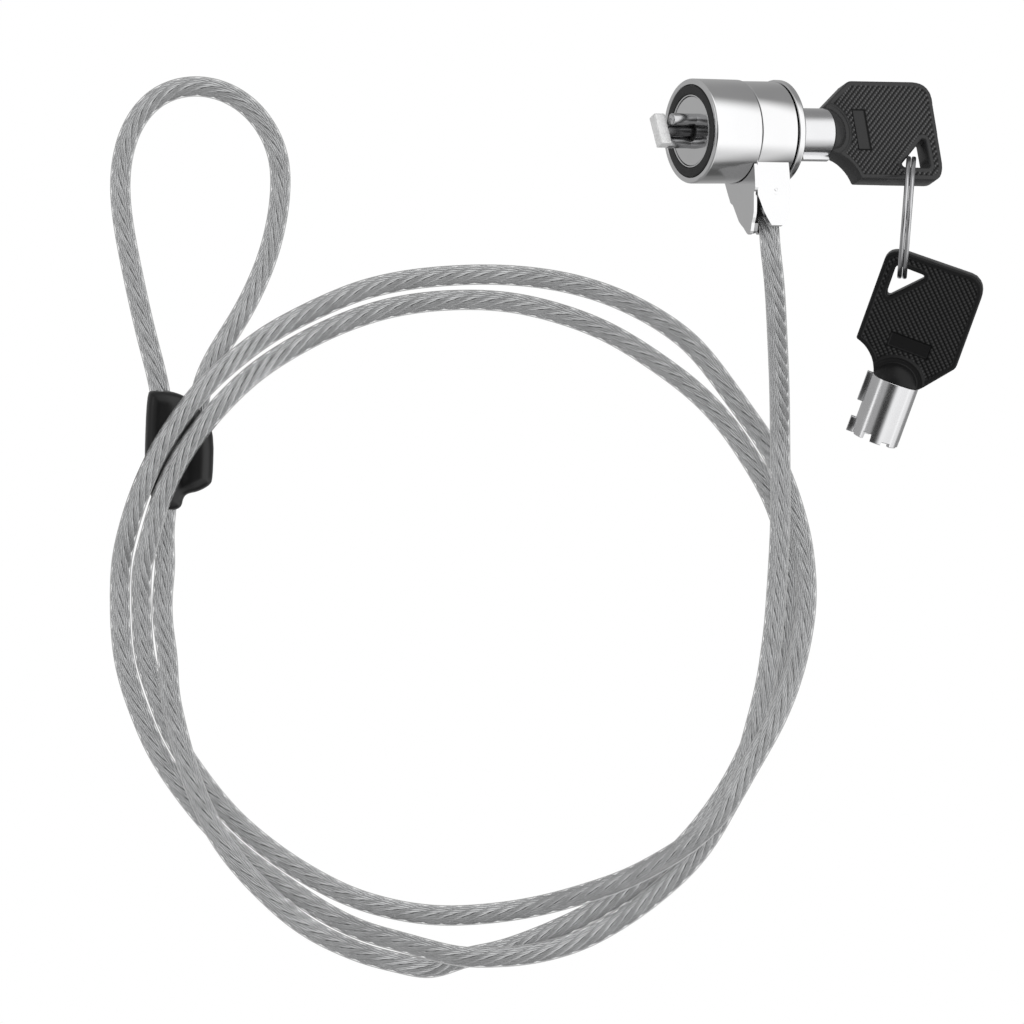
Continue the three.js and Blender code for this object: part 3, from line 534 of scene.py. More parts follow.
# near black, as painted shade in the gaps between the rope's strands
WIRE_CORE_PAINTED_SHADE = metal("wire_core_painted_shade", (0.05, 0.05, 0.052), rough=0.5, spread=0.05)
CRIMP = metal("crimp_alloy", (0.66, 0.67, 0.68), rough=0.4, spread=0.06,
              scratch=0.2, scale=700)
BRASS = metal("brass", (0.72, 0.58, 0.32), rough=0.3, spread=0.05, scratch=0.15)
SLEEVE_BLACK = plastic("black_sleeve", (0.0028, 0.0028, 0.003), rough=0.32, grain=0.2,
                       scale=4000, depth=0.00001)
# one plastic in two copies: the key's bow is painted lighter and the spare's darker, standing in
# for how each is lit
BOW_BLACK_PAINTED_LIGHTER = bow_plastic_painted_shade("black_bow", crest_painted_grey=0.07, crest_shine=0.95)
BOW_BLACK_SPARE_PAINTED_DARKER = bow_plastic_painted_shade("black_bow_spare_painted_darker", crest_painted_grey=0.022, crest_shine=0.45)
RUBBER = plastic("rubber", (0.016, 0.016, 0.0165), rough=0.62, grain=0.3,
                 scale=5000, depth=0.00002)
PVC = clear_pvc()

# CAD pieces that aren't steel
CAD_MATERIALS = {"rotor": BRASS, "driver_block": BRASS,
                 "loop_ferrule": CRIMP, "cable_end_ferrule": CRIMP}
for piece, cad_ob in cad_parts.items():
    cad_ob.data.materials.clear()
    cad_ob.data.materials.append(CAD_MATERIALS.get(piece, STEEL))

# ---------------------------------------------------------------- cable
CABLE_STEP = 0.8
ROPE_RADIUS = 1.80          # drawn fuller than a bare rope, as its clear jacket magnifies it
STRAND_RADIUS = ROPE_RADIUS / 3
WIRE_RADIUS = STRAND_RADIUS / 3
WIRE_DRAWN = 0.93           # share of the wire's radius that is drawn
# the core reaches in between the strands, so its dark shows there as painted shade
CORE_RADIUS = STRAND_RADIUS * 1.55
JACKET_RADIUS = 1.94
ROPE_LAY, WIRE_LAY = 21.0, 7.5      # cable length per turn of the strands and of their wires
LEG_STUB = (14.7, 16.5, 18.3)       # yoke y of the cable's first points, inside the leg
# Centreline beyond the leg, [x, y, z] in layout coordinates; it ends in the sleeve
ROUTE = np.array([
    [42.1, 53.43, 31.3], [42.72, 47.6, 30.1], [43.17, 41.83, 27.2],
    [43.43, 36.63, 23.3], [43.65, 31.71, 19.2], [43.83, 26.92, 15.22], [43.94, 22.14, 11.43],
    [43.99, 17.13, 7.95], [44.04, 11.08, 8.21], [44.09, 4.98, 8.31], [43.99, -1.08, 7.59],
    [43.7, -7.03, 6.24], [43.32, -13.06, 5.41], [42.84, -19.15, 5.44], [42.09, -25.21, 5.67],
    [41.06, -31.23, 5.91], [39.6, -37.15, 6.05], [38.03, -43.06, 6.1], [36.31, -48.91, 5.93],
    [33.54, -54.35, 5.71], [30.44, -59.6, 5.34], [26.71, -64.41, 4.9], [22.3, -68.63, 4.63],
    [17.53, -72.42, 4.24], [12.47, -75.8, 3.7], [7.09, -78.67, 3.83], [1.4, -80.68, 4.77],
    [-4.53, -81.87, 5.55], [-10.61, -82.33, 5.99], [-16.71, -82.14, 6.1], [-22.63, -80.88, 5.77],
    [-28.38, -79.3, 4.63], [-34.15, -77.65, 3.51], [-39.66, -75.34, 2.26], [-44.93, -72.28, 1.95],
    [-50, -68.87, 1.95], [-55.01, -65.38, 1.95], [-59.78, -61.56, 1.95], [-64.15, -57.3, 1.95],
    [-68.06, -52.61, 1.95], [-71.65, -47.66, 1.95], [-74.78, -42.42, 1.95], [-77.24, -36.83, 1.95],
    [-79.3, -31.08, 1.95], [-80.72, -25.16, 1.95], [-81.31, -19.08, 1.95], [-81.42, -12.97, 1.97],
    [-81.07, -6.99, 2.95], [-80, -1.64, 5.67], [-78.37, 3.85, 7.77], [-76.15, 9.47, 8.57],
    [-73.37, 14.91, 8.6], [-70.06, 20.04, 8.6], [-66.33, 24.87, 8.39], [-62.13, 29.09, 7.11],
    [-57.73, 32.74, 4.96], [-53.04, 36.09, 2.94], [-47.8, 39.04, 1.99], [-42.3, 41.69, 1.95],
    [-36.64, 43.98, 1.95], [-30.75, 45.61, 1.95], [-24.73, 46.62, 1.95], [-18.64, 47.18, 1.95],
    [-12.54, 47.39, 1.95], [-6.43, 47.2, 1.95], [-0.36, 46.54, 1.95], [5.63, 45.33, 1.95],
    [11.45, 43.5, 1.95], [17.03, 41.02, 1.95], [22.3, 37.94, 1.95], [27.1, 34.17, 1.95],
    [31.13, 29.59, 1.95], [34.76, 24.67, 1.95], [38.33, 19.71, 2.05], [41.67, 14.71, 3.1],
    [44.35, 9.36, 4.18], [46.4, 3.63, 4.65], [47.95, -2.27, 4.82], [48.81, -8.32, 4.73],
    [49, -14.42, 4.48], [48.34, -20.48, 4.51], [47.1, -26.31, 5.77], [45.37, -31.87, 7.61],
    [43.05, -37.35, 8.99], [40.18, -42.67, 9.84], [37.14, -47.96, 10.11], [34.01, -53.2, 9.93],
    [30.04, -57.82, 9.5], [25.34, -61.6, 8.63], [20.28, -64.7, 7.19], [14.98, -67.36, 5.73],
    [9.31, -69.46, 4.94], [3.59, -71.2, 3.73], [-2.16, -72.61, 2.25], [-8.17, -73.63, 1.95],
    [-14.25, -74.23, 1.95], [-20.35, -74.36, 1.95], [-26.43, -73.76, 1.95], [-32.4, -72.47, 1.95],
    [-38.18, -70.52, 1.95], [-43.67, -67.84, 1.95], [-48.91, -64.7, 1.95], [-53.88, -61.14, 1.95],
    [-58.54, -57.2, 1.95], [-62.73, -52.76, 1.95], [-66.48, -47.94, 1.95], [-69.89, -42.87, 1.95],
    [-72.63, -37.41, 1.95], [-74.73, -31.68, 1.95], [-76.5, -25.85, 1.97], [-77.2, -19.8, 2.34],
    [-77.37, -13.76, 3.18], [-77.09, -8.16, 5.57], [-75.78, -2.61, 7.68], [-74.12, 3.19, 8.56],
    [-71.82, 8.85, 8.6], [-68.86, 14.19, 8.6], [-65.26, 19.12, 8.6], [-61.24, 23.67, 7.98],
    [-57.04, 27.66, 6.07], [-52.69, 30.94, 3.32], [-47.65, 34.03, 1.99], [-42.21, 36.8, 1.95],
    [-36.55, 39.12, 1.95], [-30.71, 40.88, 1.95], [-24.7, 41.99, 1.95], [-18.62, 42.51, 1.95],
    [-12.51, 42.54, 1.95], [-6.43, 41.96, 1.95], [-0.46, 40.69, 1.95], [5.38, 38.88, 1.95],
    [11.01, 36.52, 1.95], [16.33, 33.53, 1.95], [21.42, 30.14, 1.95], [26.3, 26.48, 1.95],
    [30.8, 22.34, 1.95], [34.75, 17.69, 1.95], [38.17, 12.63, 1.95], [41.28, 7.37, 1.95],
    [43.71, 1.77, 1.95], [45.25, -4.13, 1.95], [45.78, -10.21, 1.95], [45.48, -16.31, 1.95],
    [44.63, -22.36, 1.95], [43.27, -28.32, 1.95], [41.43, -34.14, 1.95], [39.27, -39.85, 1.95],
    [36.75, -45.42, 1.95], [33.77, -50.75, 1.95], [30.29, -55.77, 1.95], [26.37, -60.45, 1.95],
    [22.01, -64.73, 1.95], [17.17, -68.45, 1.95], [11.96, -71.64, 1.95], [6.63, -74.61, 1.95],
    [1.09, -77.2, 1.95], [-4.58, -79.48, 1.95], [-10.41, -81.28, 1.95], [-16.38, -82.59, 1.97],
    [-22.15, -84.29, 2.66], [-28.01, -83.53, 3.81], [-33.91, -82.02, 3.99], [-39.57, -79.87, 3.21],
    [-44.98, -77.1, 2.95], [-49.86, -73.61, 4.08], [-54.3, -69.54, 5.08], [-58.45, -65.1, 5.72],
    [-62.11, -60.23, 6.06], [-65.12, -54.92, 6.02], [-67.48, -49.29, 5.93], [-69.37, -43.48, 6.09],
    [-70.89, -37.57, 5.84], [-72.01, -31.59, 5.32], [-72.39, -25.63, 4.31], [-73.13, -19.75, 2.84],
    [-73.31, -13.67, 2.27], [-72.87, -7.59, 1.98], [-72.97, -1.54, 2.38], [-72.52, 4.51, 3.13],
    [-72.56, 10.62, 3.2], [-72.85, 16.72, 3.2], [-73.45, 22.8, 3.2], [-74.59, 28.78, 2.79],
    [-76.08, 34.65, 2.04], [-77.5, 40.59, 1.95], [-78.8, 46.56, 1.95], [-80, 52.55, 1.95],
    [-80.98, 58.58, 1.95], [-81.36, 64.67, 1.95], [-80.66, 70.73, 1.95], [-78.48, 76.42, 1.95],
    [-74.43, 80.92, 1.95], [-68.76, 83.03, 1.95], [-62.72, 82.48, 1.95], [-57.39, 79.57, 1.95],
    [-53.47, 74.93, 1.95], [-51.31, 69.25, 1.95], [-50.99, 63.16, 1.95], [-51.76, 57.1, 1.95],
    [-53.28, 51.19, 1.95], [-55.5, 45.5, 1.95], [-58.28, 40.06, 1.95], [-61.47, 34.85, 1.95],
    [-64.45, 29.53, 2.13], [-66.28, 23.78, 2.94], [-66.87, 17.71, 3.2], [-67, 11.6, 3.2],
])


def lengths_along(points):
    return np.concatenate([[0], np.cumsum(np.linalg.norm(np.diff(points, axis=0), axis=1))])


def spline(knots, step):
    """natural cubic spline by chord length, at even steps: points and lengths along it"""
    s = lengths_along(knots)
    n = len(s)
    h = np.diff(s)
    matrix = np.zeros((n, n))
    rhs = np.zeros((n, 3))
    matrix[0, 0] = matrix[-1, -1] = 1
    for i in range(1, n - 1):
        matrix[i, i - 1:i + 2] = h[i - 1], 2 * (h[i - 1] + h[i]), h[i]
        rhs[i] = 6 * ((knots[i + 1] - knots[i]) / h[i] - (knots[i] - knots[i - 1]) / h[i - 1])
    bend = np.linalg.solve(matrix, rhs)
    fine = np.linspace(0, s[-1], int(s[-1] / 0.25))
    k = np.clip(np.searchsorted(s, fine) - 1, 0, n - 2)
    a, b, span = (s[k + 1] - fine)[:, None], (fine - s[k])[:, None], h[k][:, None]
    points = ((bend[k] * a ** 3 + bend[k + 1] * b ** 3) / (6 * span)
              + (knots[k] / span - bend[k] * span / 6) * a
              + (knots[k + 1] / span - bend[k + 1] * span / 6) * b)
    along = lengths_along(points)
    even = np.linspace(0, along[-1], int(along[-1] / step) + 1)
    return np.stack([np.interp(even, along, points[:, i]) for i in range(3)], -1), even


def carried_frames(path):
    """rotation-minimising normals and binormals"""
    tangents = np.gradient(path, axis=0)
    tangents /= np.linalg.norm(tangents, axis=1)[:, None]
    normals = np.zeros_like(path)
    vertical = np.array([0, 0, 1.0])
    normals[0] = unit(vertical - (vertical @ tangents[0]) * tangents[0])
    for i in range(1, len(path)):
        n = normals[i - 1] - (normals[i - 1] @ tangents[i]) * tangents[i]
        normals[i] = n / np.linalg.norm(n)
    return normals, np.cross(tangents, normals)


def build_cable():
    """six strands of six wires about a core, drawn near black as painted shade between the
    strands, in a clear jacket
    """
    wire_sides = 5
    stub = YOKE([[0, y, -LEG_DEPTH] for y in LEG_STUB])
    path, along = spline(np.concatenate([stub, ROUTE - ORIGIN]), CABLE_STEP)
    normals, binormals = carried_frames(path)
    section = round_section(WIRE_RADIUS * WIRE_DRAWN, wire_sides)
    verts, quads, caps = [], [], []
    per_wire = len(path) * wire_sides
    for strand in range(6):
        phi = -2 * math.pi * along / ROPE_LAY + strand * math.pi / 3
        outward = np.cos(phi)[:, None] * normals + np.sin(phi)[:, None] * binormals
        around = -np.sin(phi)[:, None] * normals + np.cos(phi)[:, None] * binormals
        centre = path + 2 * STRAND_RADIUS * outward
        for wire in range(6):
            psi = 2 * math.pi * along / WIRE_LAY + wire * math.pi / 3 + 0.4 * strand
            offset = np.cos(psi)[:, None] * outward + np.sin(psi)[:, None] * around
            wire_verts, wire_quads, wire_caps = sweep(centre + 2 * WIRE_RADIUS * offset,
                                                      outward, around, section)
            base = len(verts) * per_wire
            verts.append(wire_verts)
            quads.append(wire_quads + base)
            caps += [cap + base for cap in wire_caps]
    rope = make("rope_wires", np.concatenate(verts), quads + caps, WIRE,
                "cable", "wire_rope")
    rope.visible_glossy = False

    verts, quads, caps = sweep(path, normals, binormals, round_section(CORE_RADIUS, 10))
    core = make("rope_core_painted_shade", verts, [quads] + caps, WIRE_CORE_PAINTED_SHADE, "cable")
    core.visible_glossy = False

    verts, quads, caps = sweep(path[1:-1], normals[1:-1], binormals[1:-1],
                               round_section(JACKET_RADIUS, 24))
    jacket = make("jacket", verts, [quads] + caps, PVC, "cable", "cable_jacket")
    jacket.visible_glossy = False
    jacket.visible_shadow = False


build_cable()

# ---------------------------------------------------------------- sleeve over the crimp
SLEEVE_THICKNESS = 6.4472
SLEEVE_GROOVE_X = -70.0 - ORIGIN[0]
# (x, y) in layout coordinates
SLEEVE_OUTLINE = np.array([
    [-76.34, 24.7], [-75.34, 25.54], [-71.99, 25.33], [-68.93, 24.32], [-66.03, 22.04],
    [-63.55, 18.05], [-63.74, 8.46], [-64.43, 7.3], [-66.59, 6.14], [-68.65, 5.78],
    [-69.41, 4.94], [-69.73, 3.23], [-71.16, 2.56], [-73.44, 2.56], [-74.77, 3.23],
    [-75.34, 4.75], [-75.91, 6.46], [-76.67, 8.55], [-76.78, 12.54],
]) - ORIGIN[:2]


def cut_corners(points, rounds):
    """Chaikin's rounding of a closed outline"""
    for _ in range(rounds):
        ahead = np.roll(points, -1, 0)
        pairs = np.stack([0.75 * points + 0.25 * ahead, 0.25 * points + 0.75 * ahead], 1)
        points = pairs.reshape(-1, 2)
    return points


def build_sleeve():
    edge_width, edge_power = 2.7, 2.4
    edge_half, crown_drop = 0.5, 0.55
    groove_depth, groove_width, groove_fade = 0.35, 1.3, 2.0
    middle = SLEEVE_THICKNESS / 2
    x, y, inset, quads = plan_grid(cut_corners(SLEEVE_OUTLINE, 2), [], 0.22)
    t = np.clip(1 - inset / edge_width, 0, 1)
    half = (middle - crown_drop) * np.sqrt(np.maximum(0, 1 - t ** edge_power)) + edge_half
    half -= (groove_depth * np.exp(-((x - SLEEVE_GROOVE_X) / groove_width) ** 2)
             * np.clip(inset / groove_fade, 0, 1))
    verts, faces = slab(x, y, middle + half, middle - half * 0.97, quads)
    make("moulded_sleeve", verts, [faces], SLEEVE_BLACK, "cable",
         "loop_sleeve", sharp=60)


build_sleeve()

# ---------------------------------------------------------------- lock head
# Corners of the turned parts are (radius, depth, fillet)
turned_part("barrel_shell", [
    (6.7, 0.06, 0.05), (6.95, 0.06, 0.08), (6.95, 1.2, 0), (8.78, 1.2, 0), (8.78, 0.0, 0.36),
    (10.0, 0.0, 0.5), (9.87, 10.2, 0.12), (7.7, 10.2, 0), (7.7, 19.2, 0.1), (6.7, 19.2, 0.1),
], CHROME, "lock_body", "front_barrel", arc_steps=8, segments=192)
turned_part("face_rubber", [
    (7.02, -0.10, 0.25), (8.72, -0.10, 0.25), (8.72, 1.1, 0.1), (7.02, 1.1, 0.1),
], RUBBER, "lock_body", "rubber_ring", arc_steps=6)
turned_part("nose_plate", [
    (2.05, 0.2, 0.12), (6.6, 0.2, 0.2), (6.6, 2.0, 0.05), (2.05, 2.0, 0.05),
], CHROME, "lock_body", "nose_disc", arc_steps=5)
turned_part("rear_cap_ring", [
    (7.82, 18.5, 0.05), (9.95, 18.5, 0.18), (9.9, 20.0, 0.45), (6.3, 20.0, 0.12),
    (6.3, 19.75, 0), (6.75, 19.75, 0), (6.75, 19.35, 0), (7.82, 19.35, 0.05),
], CHROME, "lock_body", "rear_ring", arc_steps=8, segments=192)
turned_part("collar_band", [
    (7.9, 10.5, 0.05), (9.62, 10.5, 0.16), (9.62, 18.25, 0.16), (7.9, 18.25, 0.05),
], CHROME, "yoke", arc_steps=6, segments=192)
# a black rubber ring in the gap round the T-bar's neck, standing in as painted shade in the nose's
# hole
turned_part("spindle_seal_painted_shade", [
    (1.13, 0.4, 0.1), (2.04, 0.4, 0.05), (2.04, 1.9, 0.05), (1.13, 1.9, 0.05),
], RUBBER, "lock_body", segments=64)

GUIDE_ANGLE = 63 * RAD
GUIDE_OFFSET = 2.42     # from the lock's axis
for name, replaced, sign in (("guide_pin_top", "guide_pin_upper", 1),
                             ("guide_pin_bottom", "guide_pin_lower", -1)):
    foot = LOCK([sign * GUIDE_OFFSET * math.cos(GUIDE_ANGLE),
                 sign * GUIDE_OFFSET * math.sin(GUIDE_ANGLE), 0])
    turned_part(name, [
        (0, -4.6, 0), (0.34, -4.95, 0.05), (1.17, -4.95, 0.36), (1.17, 1.9, 0.05), (0, 1.9, 0),
    ], GUIDE_STEEL_PAINTED_SHADE, "lock_body", replaced, arc_steps=7, segments=48,
        place=basis(side, up, axis, foot))

# ---------------------------------------------------------------- collar leg (yoke frame)
LEG_START, LEG_END = 6.2, 19.6
LEG_WALL = 0.72
# (y, half width), smoothed by a quartic
LEG_WIDTHS = [(LEG_START, 5.6), (9, 5.42), (11, 5.08), (13, 4.6), (15.2, 3.95), (17.2, 3.4),
              (LEG_END, 2.93)]
LEG_FIT = np.polyfit(*zip(*LEG_WIDTHS), 4)
# (z, y) of the cut on each side of the leg's front
SIDE_CUT = [(-10.0, 13.75), (-10.0, 21.5), (-13.9, 21.5), (-13.6, 20.6), (-13.1, 19.7),
            (-12.55, 18.8), (-11.95, 17.8), (-11.4, 16.8), (-10.95, 15.8), (-10.5, 14.75)]
# (z, y) of the cut that rounds the rear outer corner
HEEL_CUT = [(-18.4, 12.6), (-17.31, 12.6), (-17.25, 15.0), (-17.1, 16.6), (-16.85, 17.7),
            (-16.45, 18.6), (-15.9, 19.3), (-15.4, 19.65), (-15.4, 21.0), (-18.4, 21.0)]
# (x, y) of one half of the plate that closes the front
FRONT_PLATE = [(5.75, 8.2), (5.55, 9.25), (5.2, 11.0), (4.8, 12.7), (4.5, 13.05), (4.15, 13.3),
               (3.9, 13.9), (3.4, 15.5), (2.9, 17.0), (2.3, 17.9), (1.6, 18.7), (1.1, 19.55),
               (0.75, 20.1), (0.35, 20.45)]
LIP_OUTLINE = [(-1.5, 18.7), (1.5, 18.7), (1.08, 19.55), (0.62, 20.2), (-0.62, 20.2),
               (-1.08, 19.55)]


def leg_outline(stations, wall=0.0):
    return mirrored([(float(np.polyval(LEG_FIT, min(y, LEG_END))) - wall, float(y))
                     for y in stations])


def build_leg():
    leg = prism(leg_outline(np.linspace(LEG_START, LEG_END, 34)), -17.3, -10.12,
                name="collar_leg")
    boolean(leg, prism(leg_outline(np.linspace(11.2, 21.5, 12), LEG_WALL), -16.95, -10.0))
    for sign in (1, -1):
        boolean(leg, prism(SIDE_CUT, 1.5 * sign, 7.5 * sign, along_x))
    boolean(leg, prism(HEEL_CUT, -8.0, 8.0, along_x))
    boolean(leg, prism(mirrored(FRONT_PLATE), -10.2, -9.5), "UNION")
    # room for the band, and a wider bore in front for the barrel
    boolean(leg, prism(circle_outline(9.3, 60), -25, -5))
    boolean(leg, prism(circle_outline(10.06, 120), -10.41, -5))
    lip = prism(LIP_OUTLINE, -11.1, -9.9, name="leg_lip")
    finish_bevel(lip, width=0.12, segments=3, angle=30, material=LIP_CHROME_PAINTED_SHADE,
                 body="yoke", place=YOKE)
    finish_bevel(leg, width=0.15, segments=5, angle=32, material=CHROME, body="yoke",
                 place=YOKE, replaces="swivel_collar", smooth=False)


build_leg()
turned_part("yoke_rivet", [
    (0, -4.68, 0), (0.34, -4.68, 0.06), (0.34, -4.4, 0), (0.9, -4.4, 0.05),
    (0.9, 4.4, 0.05), (0.34, 4.4, 0), (0.34, 4.68, 0.06), (0, 4.68, 0),
], CHROME, "yoke", "yoke_pin", segments=48, sharp=35,
    place=basis(axis, yoke_y, yoke_x, YOKE([0, PIVOT_RADIUS, -LEG_DEPTH])))
# a black rubber sleeve in place of the crimp ferrule, darkening the leg's opening as painted shade
turned_part("cable_end_boot_painted_shade", [
    (0, 11.55, 0), (2.38, 11.55, 0.3), (2.38, 17.3, 0.2), (2.06, 17.3, 0.1),
    (2.06, 16.6, 0), (0, 16.6, 0),
], RUBBER, "cable", "cable_end_ferrule", arc_steps=4, segments=48, sharp=35,
    place=basis(yoke_x, np.cross(-yoke_y, yoke_x), -yoke_y, YOKE([0, 0, -LEG_DEPTH])))

# ---------------------------------------------------------------- T-bar
T_ANGLE = 117
T_HALF_LENGTH, T_HALF_WIDTH = 3.2, 1.1
T_FRONT, T_BACK = 7.7, 5.3      # heights above the face
cross_bar = prism(box_outline(-T_HALF_LENGTH, T_HALF_LENGTH, -T_HALF_WIDTH, T_HALF_WIDTH),
                  T_BACK, T_FRONT, name="t_bar_cross")
finish_bevel(cross_bar, width=0.28, segments=5, angle=30, material=FROSTED, body="plug",
             place=basis(*turn(T_ANGLE), axis, FACE), replaces="t_bar")
turned_part("t_bar_neck", [
    (0, -6.2, 0), (T_HALF_WIDTH, -6.2, 0), (T_HALF_WIDTH, 1.8, 0), (0, 1.8, 0),
], NECK_STEEL_PAINTED_SHADE, "plug", segments=48)
turned_part("t_bar_shaft", [
    (0, 1.6, 0), (1.6, 1.6, 0.1), (1.6, 2.6, 0.05), (1.15, 2.6, 0),
    (1.15, 3.25, 0), (1.6, 3.25, 0.05), (1.6, 12.2, 0.1), (0, 12.2, 0),
], STEEL, "plug", segments=48)

# ---------------------------------------------------------------- keys (key frame)
BOW_PITCH = 0.125
BOW_HALF = 2.05         # half thickness
# (x, y)
BOW_OUTLINE = [
    (-4.75, 1.0), (-5.28, 2.07), (-5.9, 2.95), (-6.61, 3.65), (-7.3, 4.2), (-8.0, 4.64),
    (-8.9, 5.03), (-9.6, 5.26), (-9.84, 5.5), (-9.94, 21.15), (-9.87, 21.9), (-9.6, 22.6),
    (-9.2, 23.1), (-8.6, 23.5), (-7.7, 23.85), (-6.67, 24.0), (6.61, 24.26), (7.7, 24.1),
    (8.66, 23.54), (9.25, 22.9), (9.63, 22.12), (9.85, 21.2), (9.92, 20.14), (9.96, 7.09),
    (9.9, 6.6), (9.7, 6.1), (5.5, 0.95), (5.1, 0.5), (4.64, 0.05), (4.6, 0.05), (-4.4, 0.05)]
BOW_HOLE = [
    (-7.35, 15.75), (-7.2, 15.3), (-6.9, 15.12), (-6.55, 15.25), (-1.85, 20.25), (-1.62, 20.6),
    (-1.75, 21.0), (-2.15, 21.15), (-6.9, 21.2), (-7.25, 21.05), (-7.42, 20.7)]
TUBE_SEGMENTS = 336
NOTCH_DEPTHS = [0.6, 1.4, 1.0, 0.4, 1.6, 0.8, 1.2]
NOTCH_RADIUS = 4.2      # where the notches' half width is measured
NOTCH_HALF = 0.85
NOTCH_TURN = 54
NOTCH_ANGLES = []
for i in range(7):
    outward = turn(90 + 360 * (i + 0.5) / 7 + NOTCH_TURN)[0]
    NOTCH_ANGLES.append(math.atan2(outward @ key_x, outward @ key_z))


def diagonal_wave(distance, pitch):
    return 0.5 + 0.5 * np.cos(2 * math.pi * distance / math.sqrt(2) / pitch)


def bow_relief(x, y, inset, falling, rising):
    """one face of the bow: height, and how far each point stands on a crest (0 to 1)"""
    edge_radius = 0.42
    rib_pitch, dot_pitch = 0.80, 0.62
    relief_depth, panel_depth = 0.32, 0.16
    t = np.clip(1 - inset / edge_radius, 0, 1)
    z = BOW_HALF - edge_radius * (1 - np.sqrt(np.maximum(0, 1 - t * t)))
    # diagonal ribs broken into dots, more deeply towards the tube
    rib = diagonal_wave(falling, rib_pitch)
    dot = diagonal_wave(rising, dot_pitch)
    near_tube = smooth01((6.5 - y) / 9.0 + 0.35)
    relief = rib ** 0.9 * (1 - (0.62 + 0.2 * near_tube) * dot)
    # the ribbed field leaves the border, the dome and an oblong panel free
    radius = np.hypot(x, y * 1.12)
    field = smooth01((inset - 0.85) / 0.18) * smooth01((radius - 5.75) / 0.15)
    beyond = np.maximum(np.abs(x - 0.1) - 3.9, np.abs(y - 7.47) - 1.22)
    panel = smooth01(-beyond / 0.14 + 0.5)
    ribbed = 1 - smooth01((0.35 - beyond) / 0.1)
    z = z - field * relief_depth + field * ribbed * relief_depth * relief
    z = z - panel * panel_depth
    # raised rim round the dome, then the dome itself
    z = z + np.exp(-((radius - 5.25) / 0.22) ** 2) * 0.22 * smooth01(inset / 0.5)
    dome = np.clip(1 - (x / 4.68) ** 2 - (y / 4.1) ** 2, 0, 1)
    # the crest value sets the bow's painted shade in the valleys and painted light on the crests
    crest = np.clip(0.3 * (1 - field) + field * relief * ribbed + 0.25 * panel, 0, 1)
    return np.maximum(z, 4.62 * np.sqrt(dome)), crest


def build_bow(name, place, body, replaces, material):
    x, y, inset, quads = plan_grid(BOW_OUTLINE, [BOW_HOLE], BOW_PITCH)
    top, top_crest = bow_relief(x, y, inset, x + y, y - x)
    bottom, bottom_crest = bow_relief(x, y, inset, y - x, x + y)
    verts, faces = slab(x, y, top, -bottom, quads)
    verts = place(verts)
    ob = make(name, verts, [face_out(verts, faces)], material, body, replaces)
    crest = ob.data.attributes.new("crest", "FLOAT", "POINT")
    values = np.concatenate([top_crest, bottom_crest]).astype(np.float32)
    crest.data.foreach_set("value", values)


def tube_mesh():
    """hollow tube along -y with notches in its end rim and a closed shoulder"""
    chamfer, rim_drop, shoulder_edge, shoulder_chamfer = 0.14, 0.12, -0.14, 0.1
    centre_radius = 0.01
    a = np.arange(TUBE_SEGMENTS) * 2 * math.pi / TUBE_SEGMENTS
    end = np.full(TUBE_SEGMENTS, -TUBE_LENGTH)
    for angle, depth in zip(NOTCH_ANGLES, NOTCH_DEPTHS):
        away = (a - angle + math.pi) % (2 * math.pi) - math.pi
        end = np.where(np.abs(away) * NOTCH_RADIUS < NOTCH_HALF, -TUBE_LENGTH + depth, end)
    # (radius, y) from the bore's floor over the rim and back along the outside
    rings = [(TUBE_BORE, -TUBE_FLOOR),
             (TUBE_BORE, end * 0.55 - 0.45 * TUBE_FLOOR),
             (TUBE_BORE, end + 0.1),
             (TUBE_BORE + chamfer, end),
             (TUBE_RADIUS - chamfer, end),
             (TUBE_RADIUS, end + rim_drop)]
    rings += [(TUBE_RADIUS, (end + rim_drop) * (1 - u) + shoulder_edge * u)
              for u in (0.25, 0.5, 0.75)]
    rings += [(TUBE_RADIUS, shoulder_edge),
              (TUBE_RADIUS - shoulder_chamfer, -SHOULDER_GAP),
              (centre_radius, -SHOULDER_GAP),
              (centre_radius, -TUBE_FLOOR)]
    verts = np.stack([np.stack([r * np.sin(a), np.full(TUBE_SEGMENTS, y), r * np.cos(a)], -1)
                      for r, y in rings], 1).reshape(-1, 3)
    return verts, wrap_quads(TUBE_SEGMENTS, len(rings))


def build_key(prefix, place, body, tube_replaces, bow_replaces, material):
    verts, quads = tube_mesh()
    verts = place(verts)
    make(prefix + "_barrel", verts, [face_out(verts, quads)], STEEL, body,
         tube_replaces, sharp=30)
    for part, y0, y1, half in (("nib", -TUBE_LENGTH, -9.2, 0.75),
                               ("rib", -5.9, -SHOULDER_GAP, 0.6)):
        block = prism(box_outline(-5.65, -4.3, y0, y1), -half, half, name=f"{prefix}_{part}")
        finish_bevel(block, width=0.14, segments=3, angle=30, material=STEEL, body=body,
                     place=place)
    build_bow(prefix + "_handle", place, body, bow_replaces, material)


build_key("key", KEY, "key", "key_tube", "key_bow", BOW_BLACK_PAINTED_LIGHTER)
build_key("spare", SPARE, "spare_key", "spare_key_tube", "spare_key_bow", BOW_BLACK_SPARE_PAINTED_DARKER)


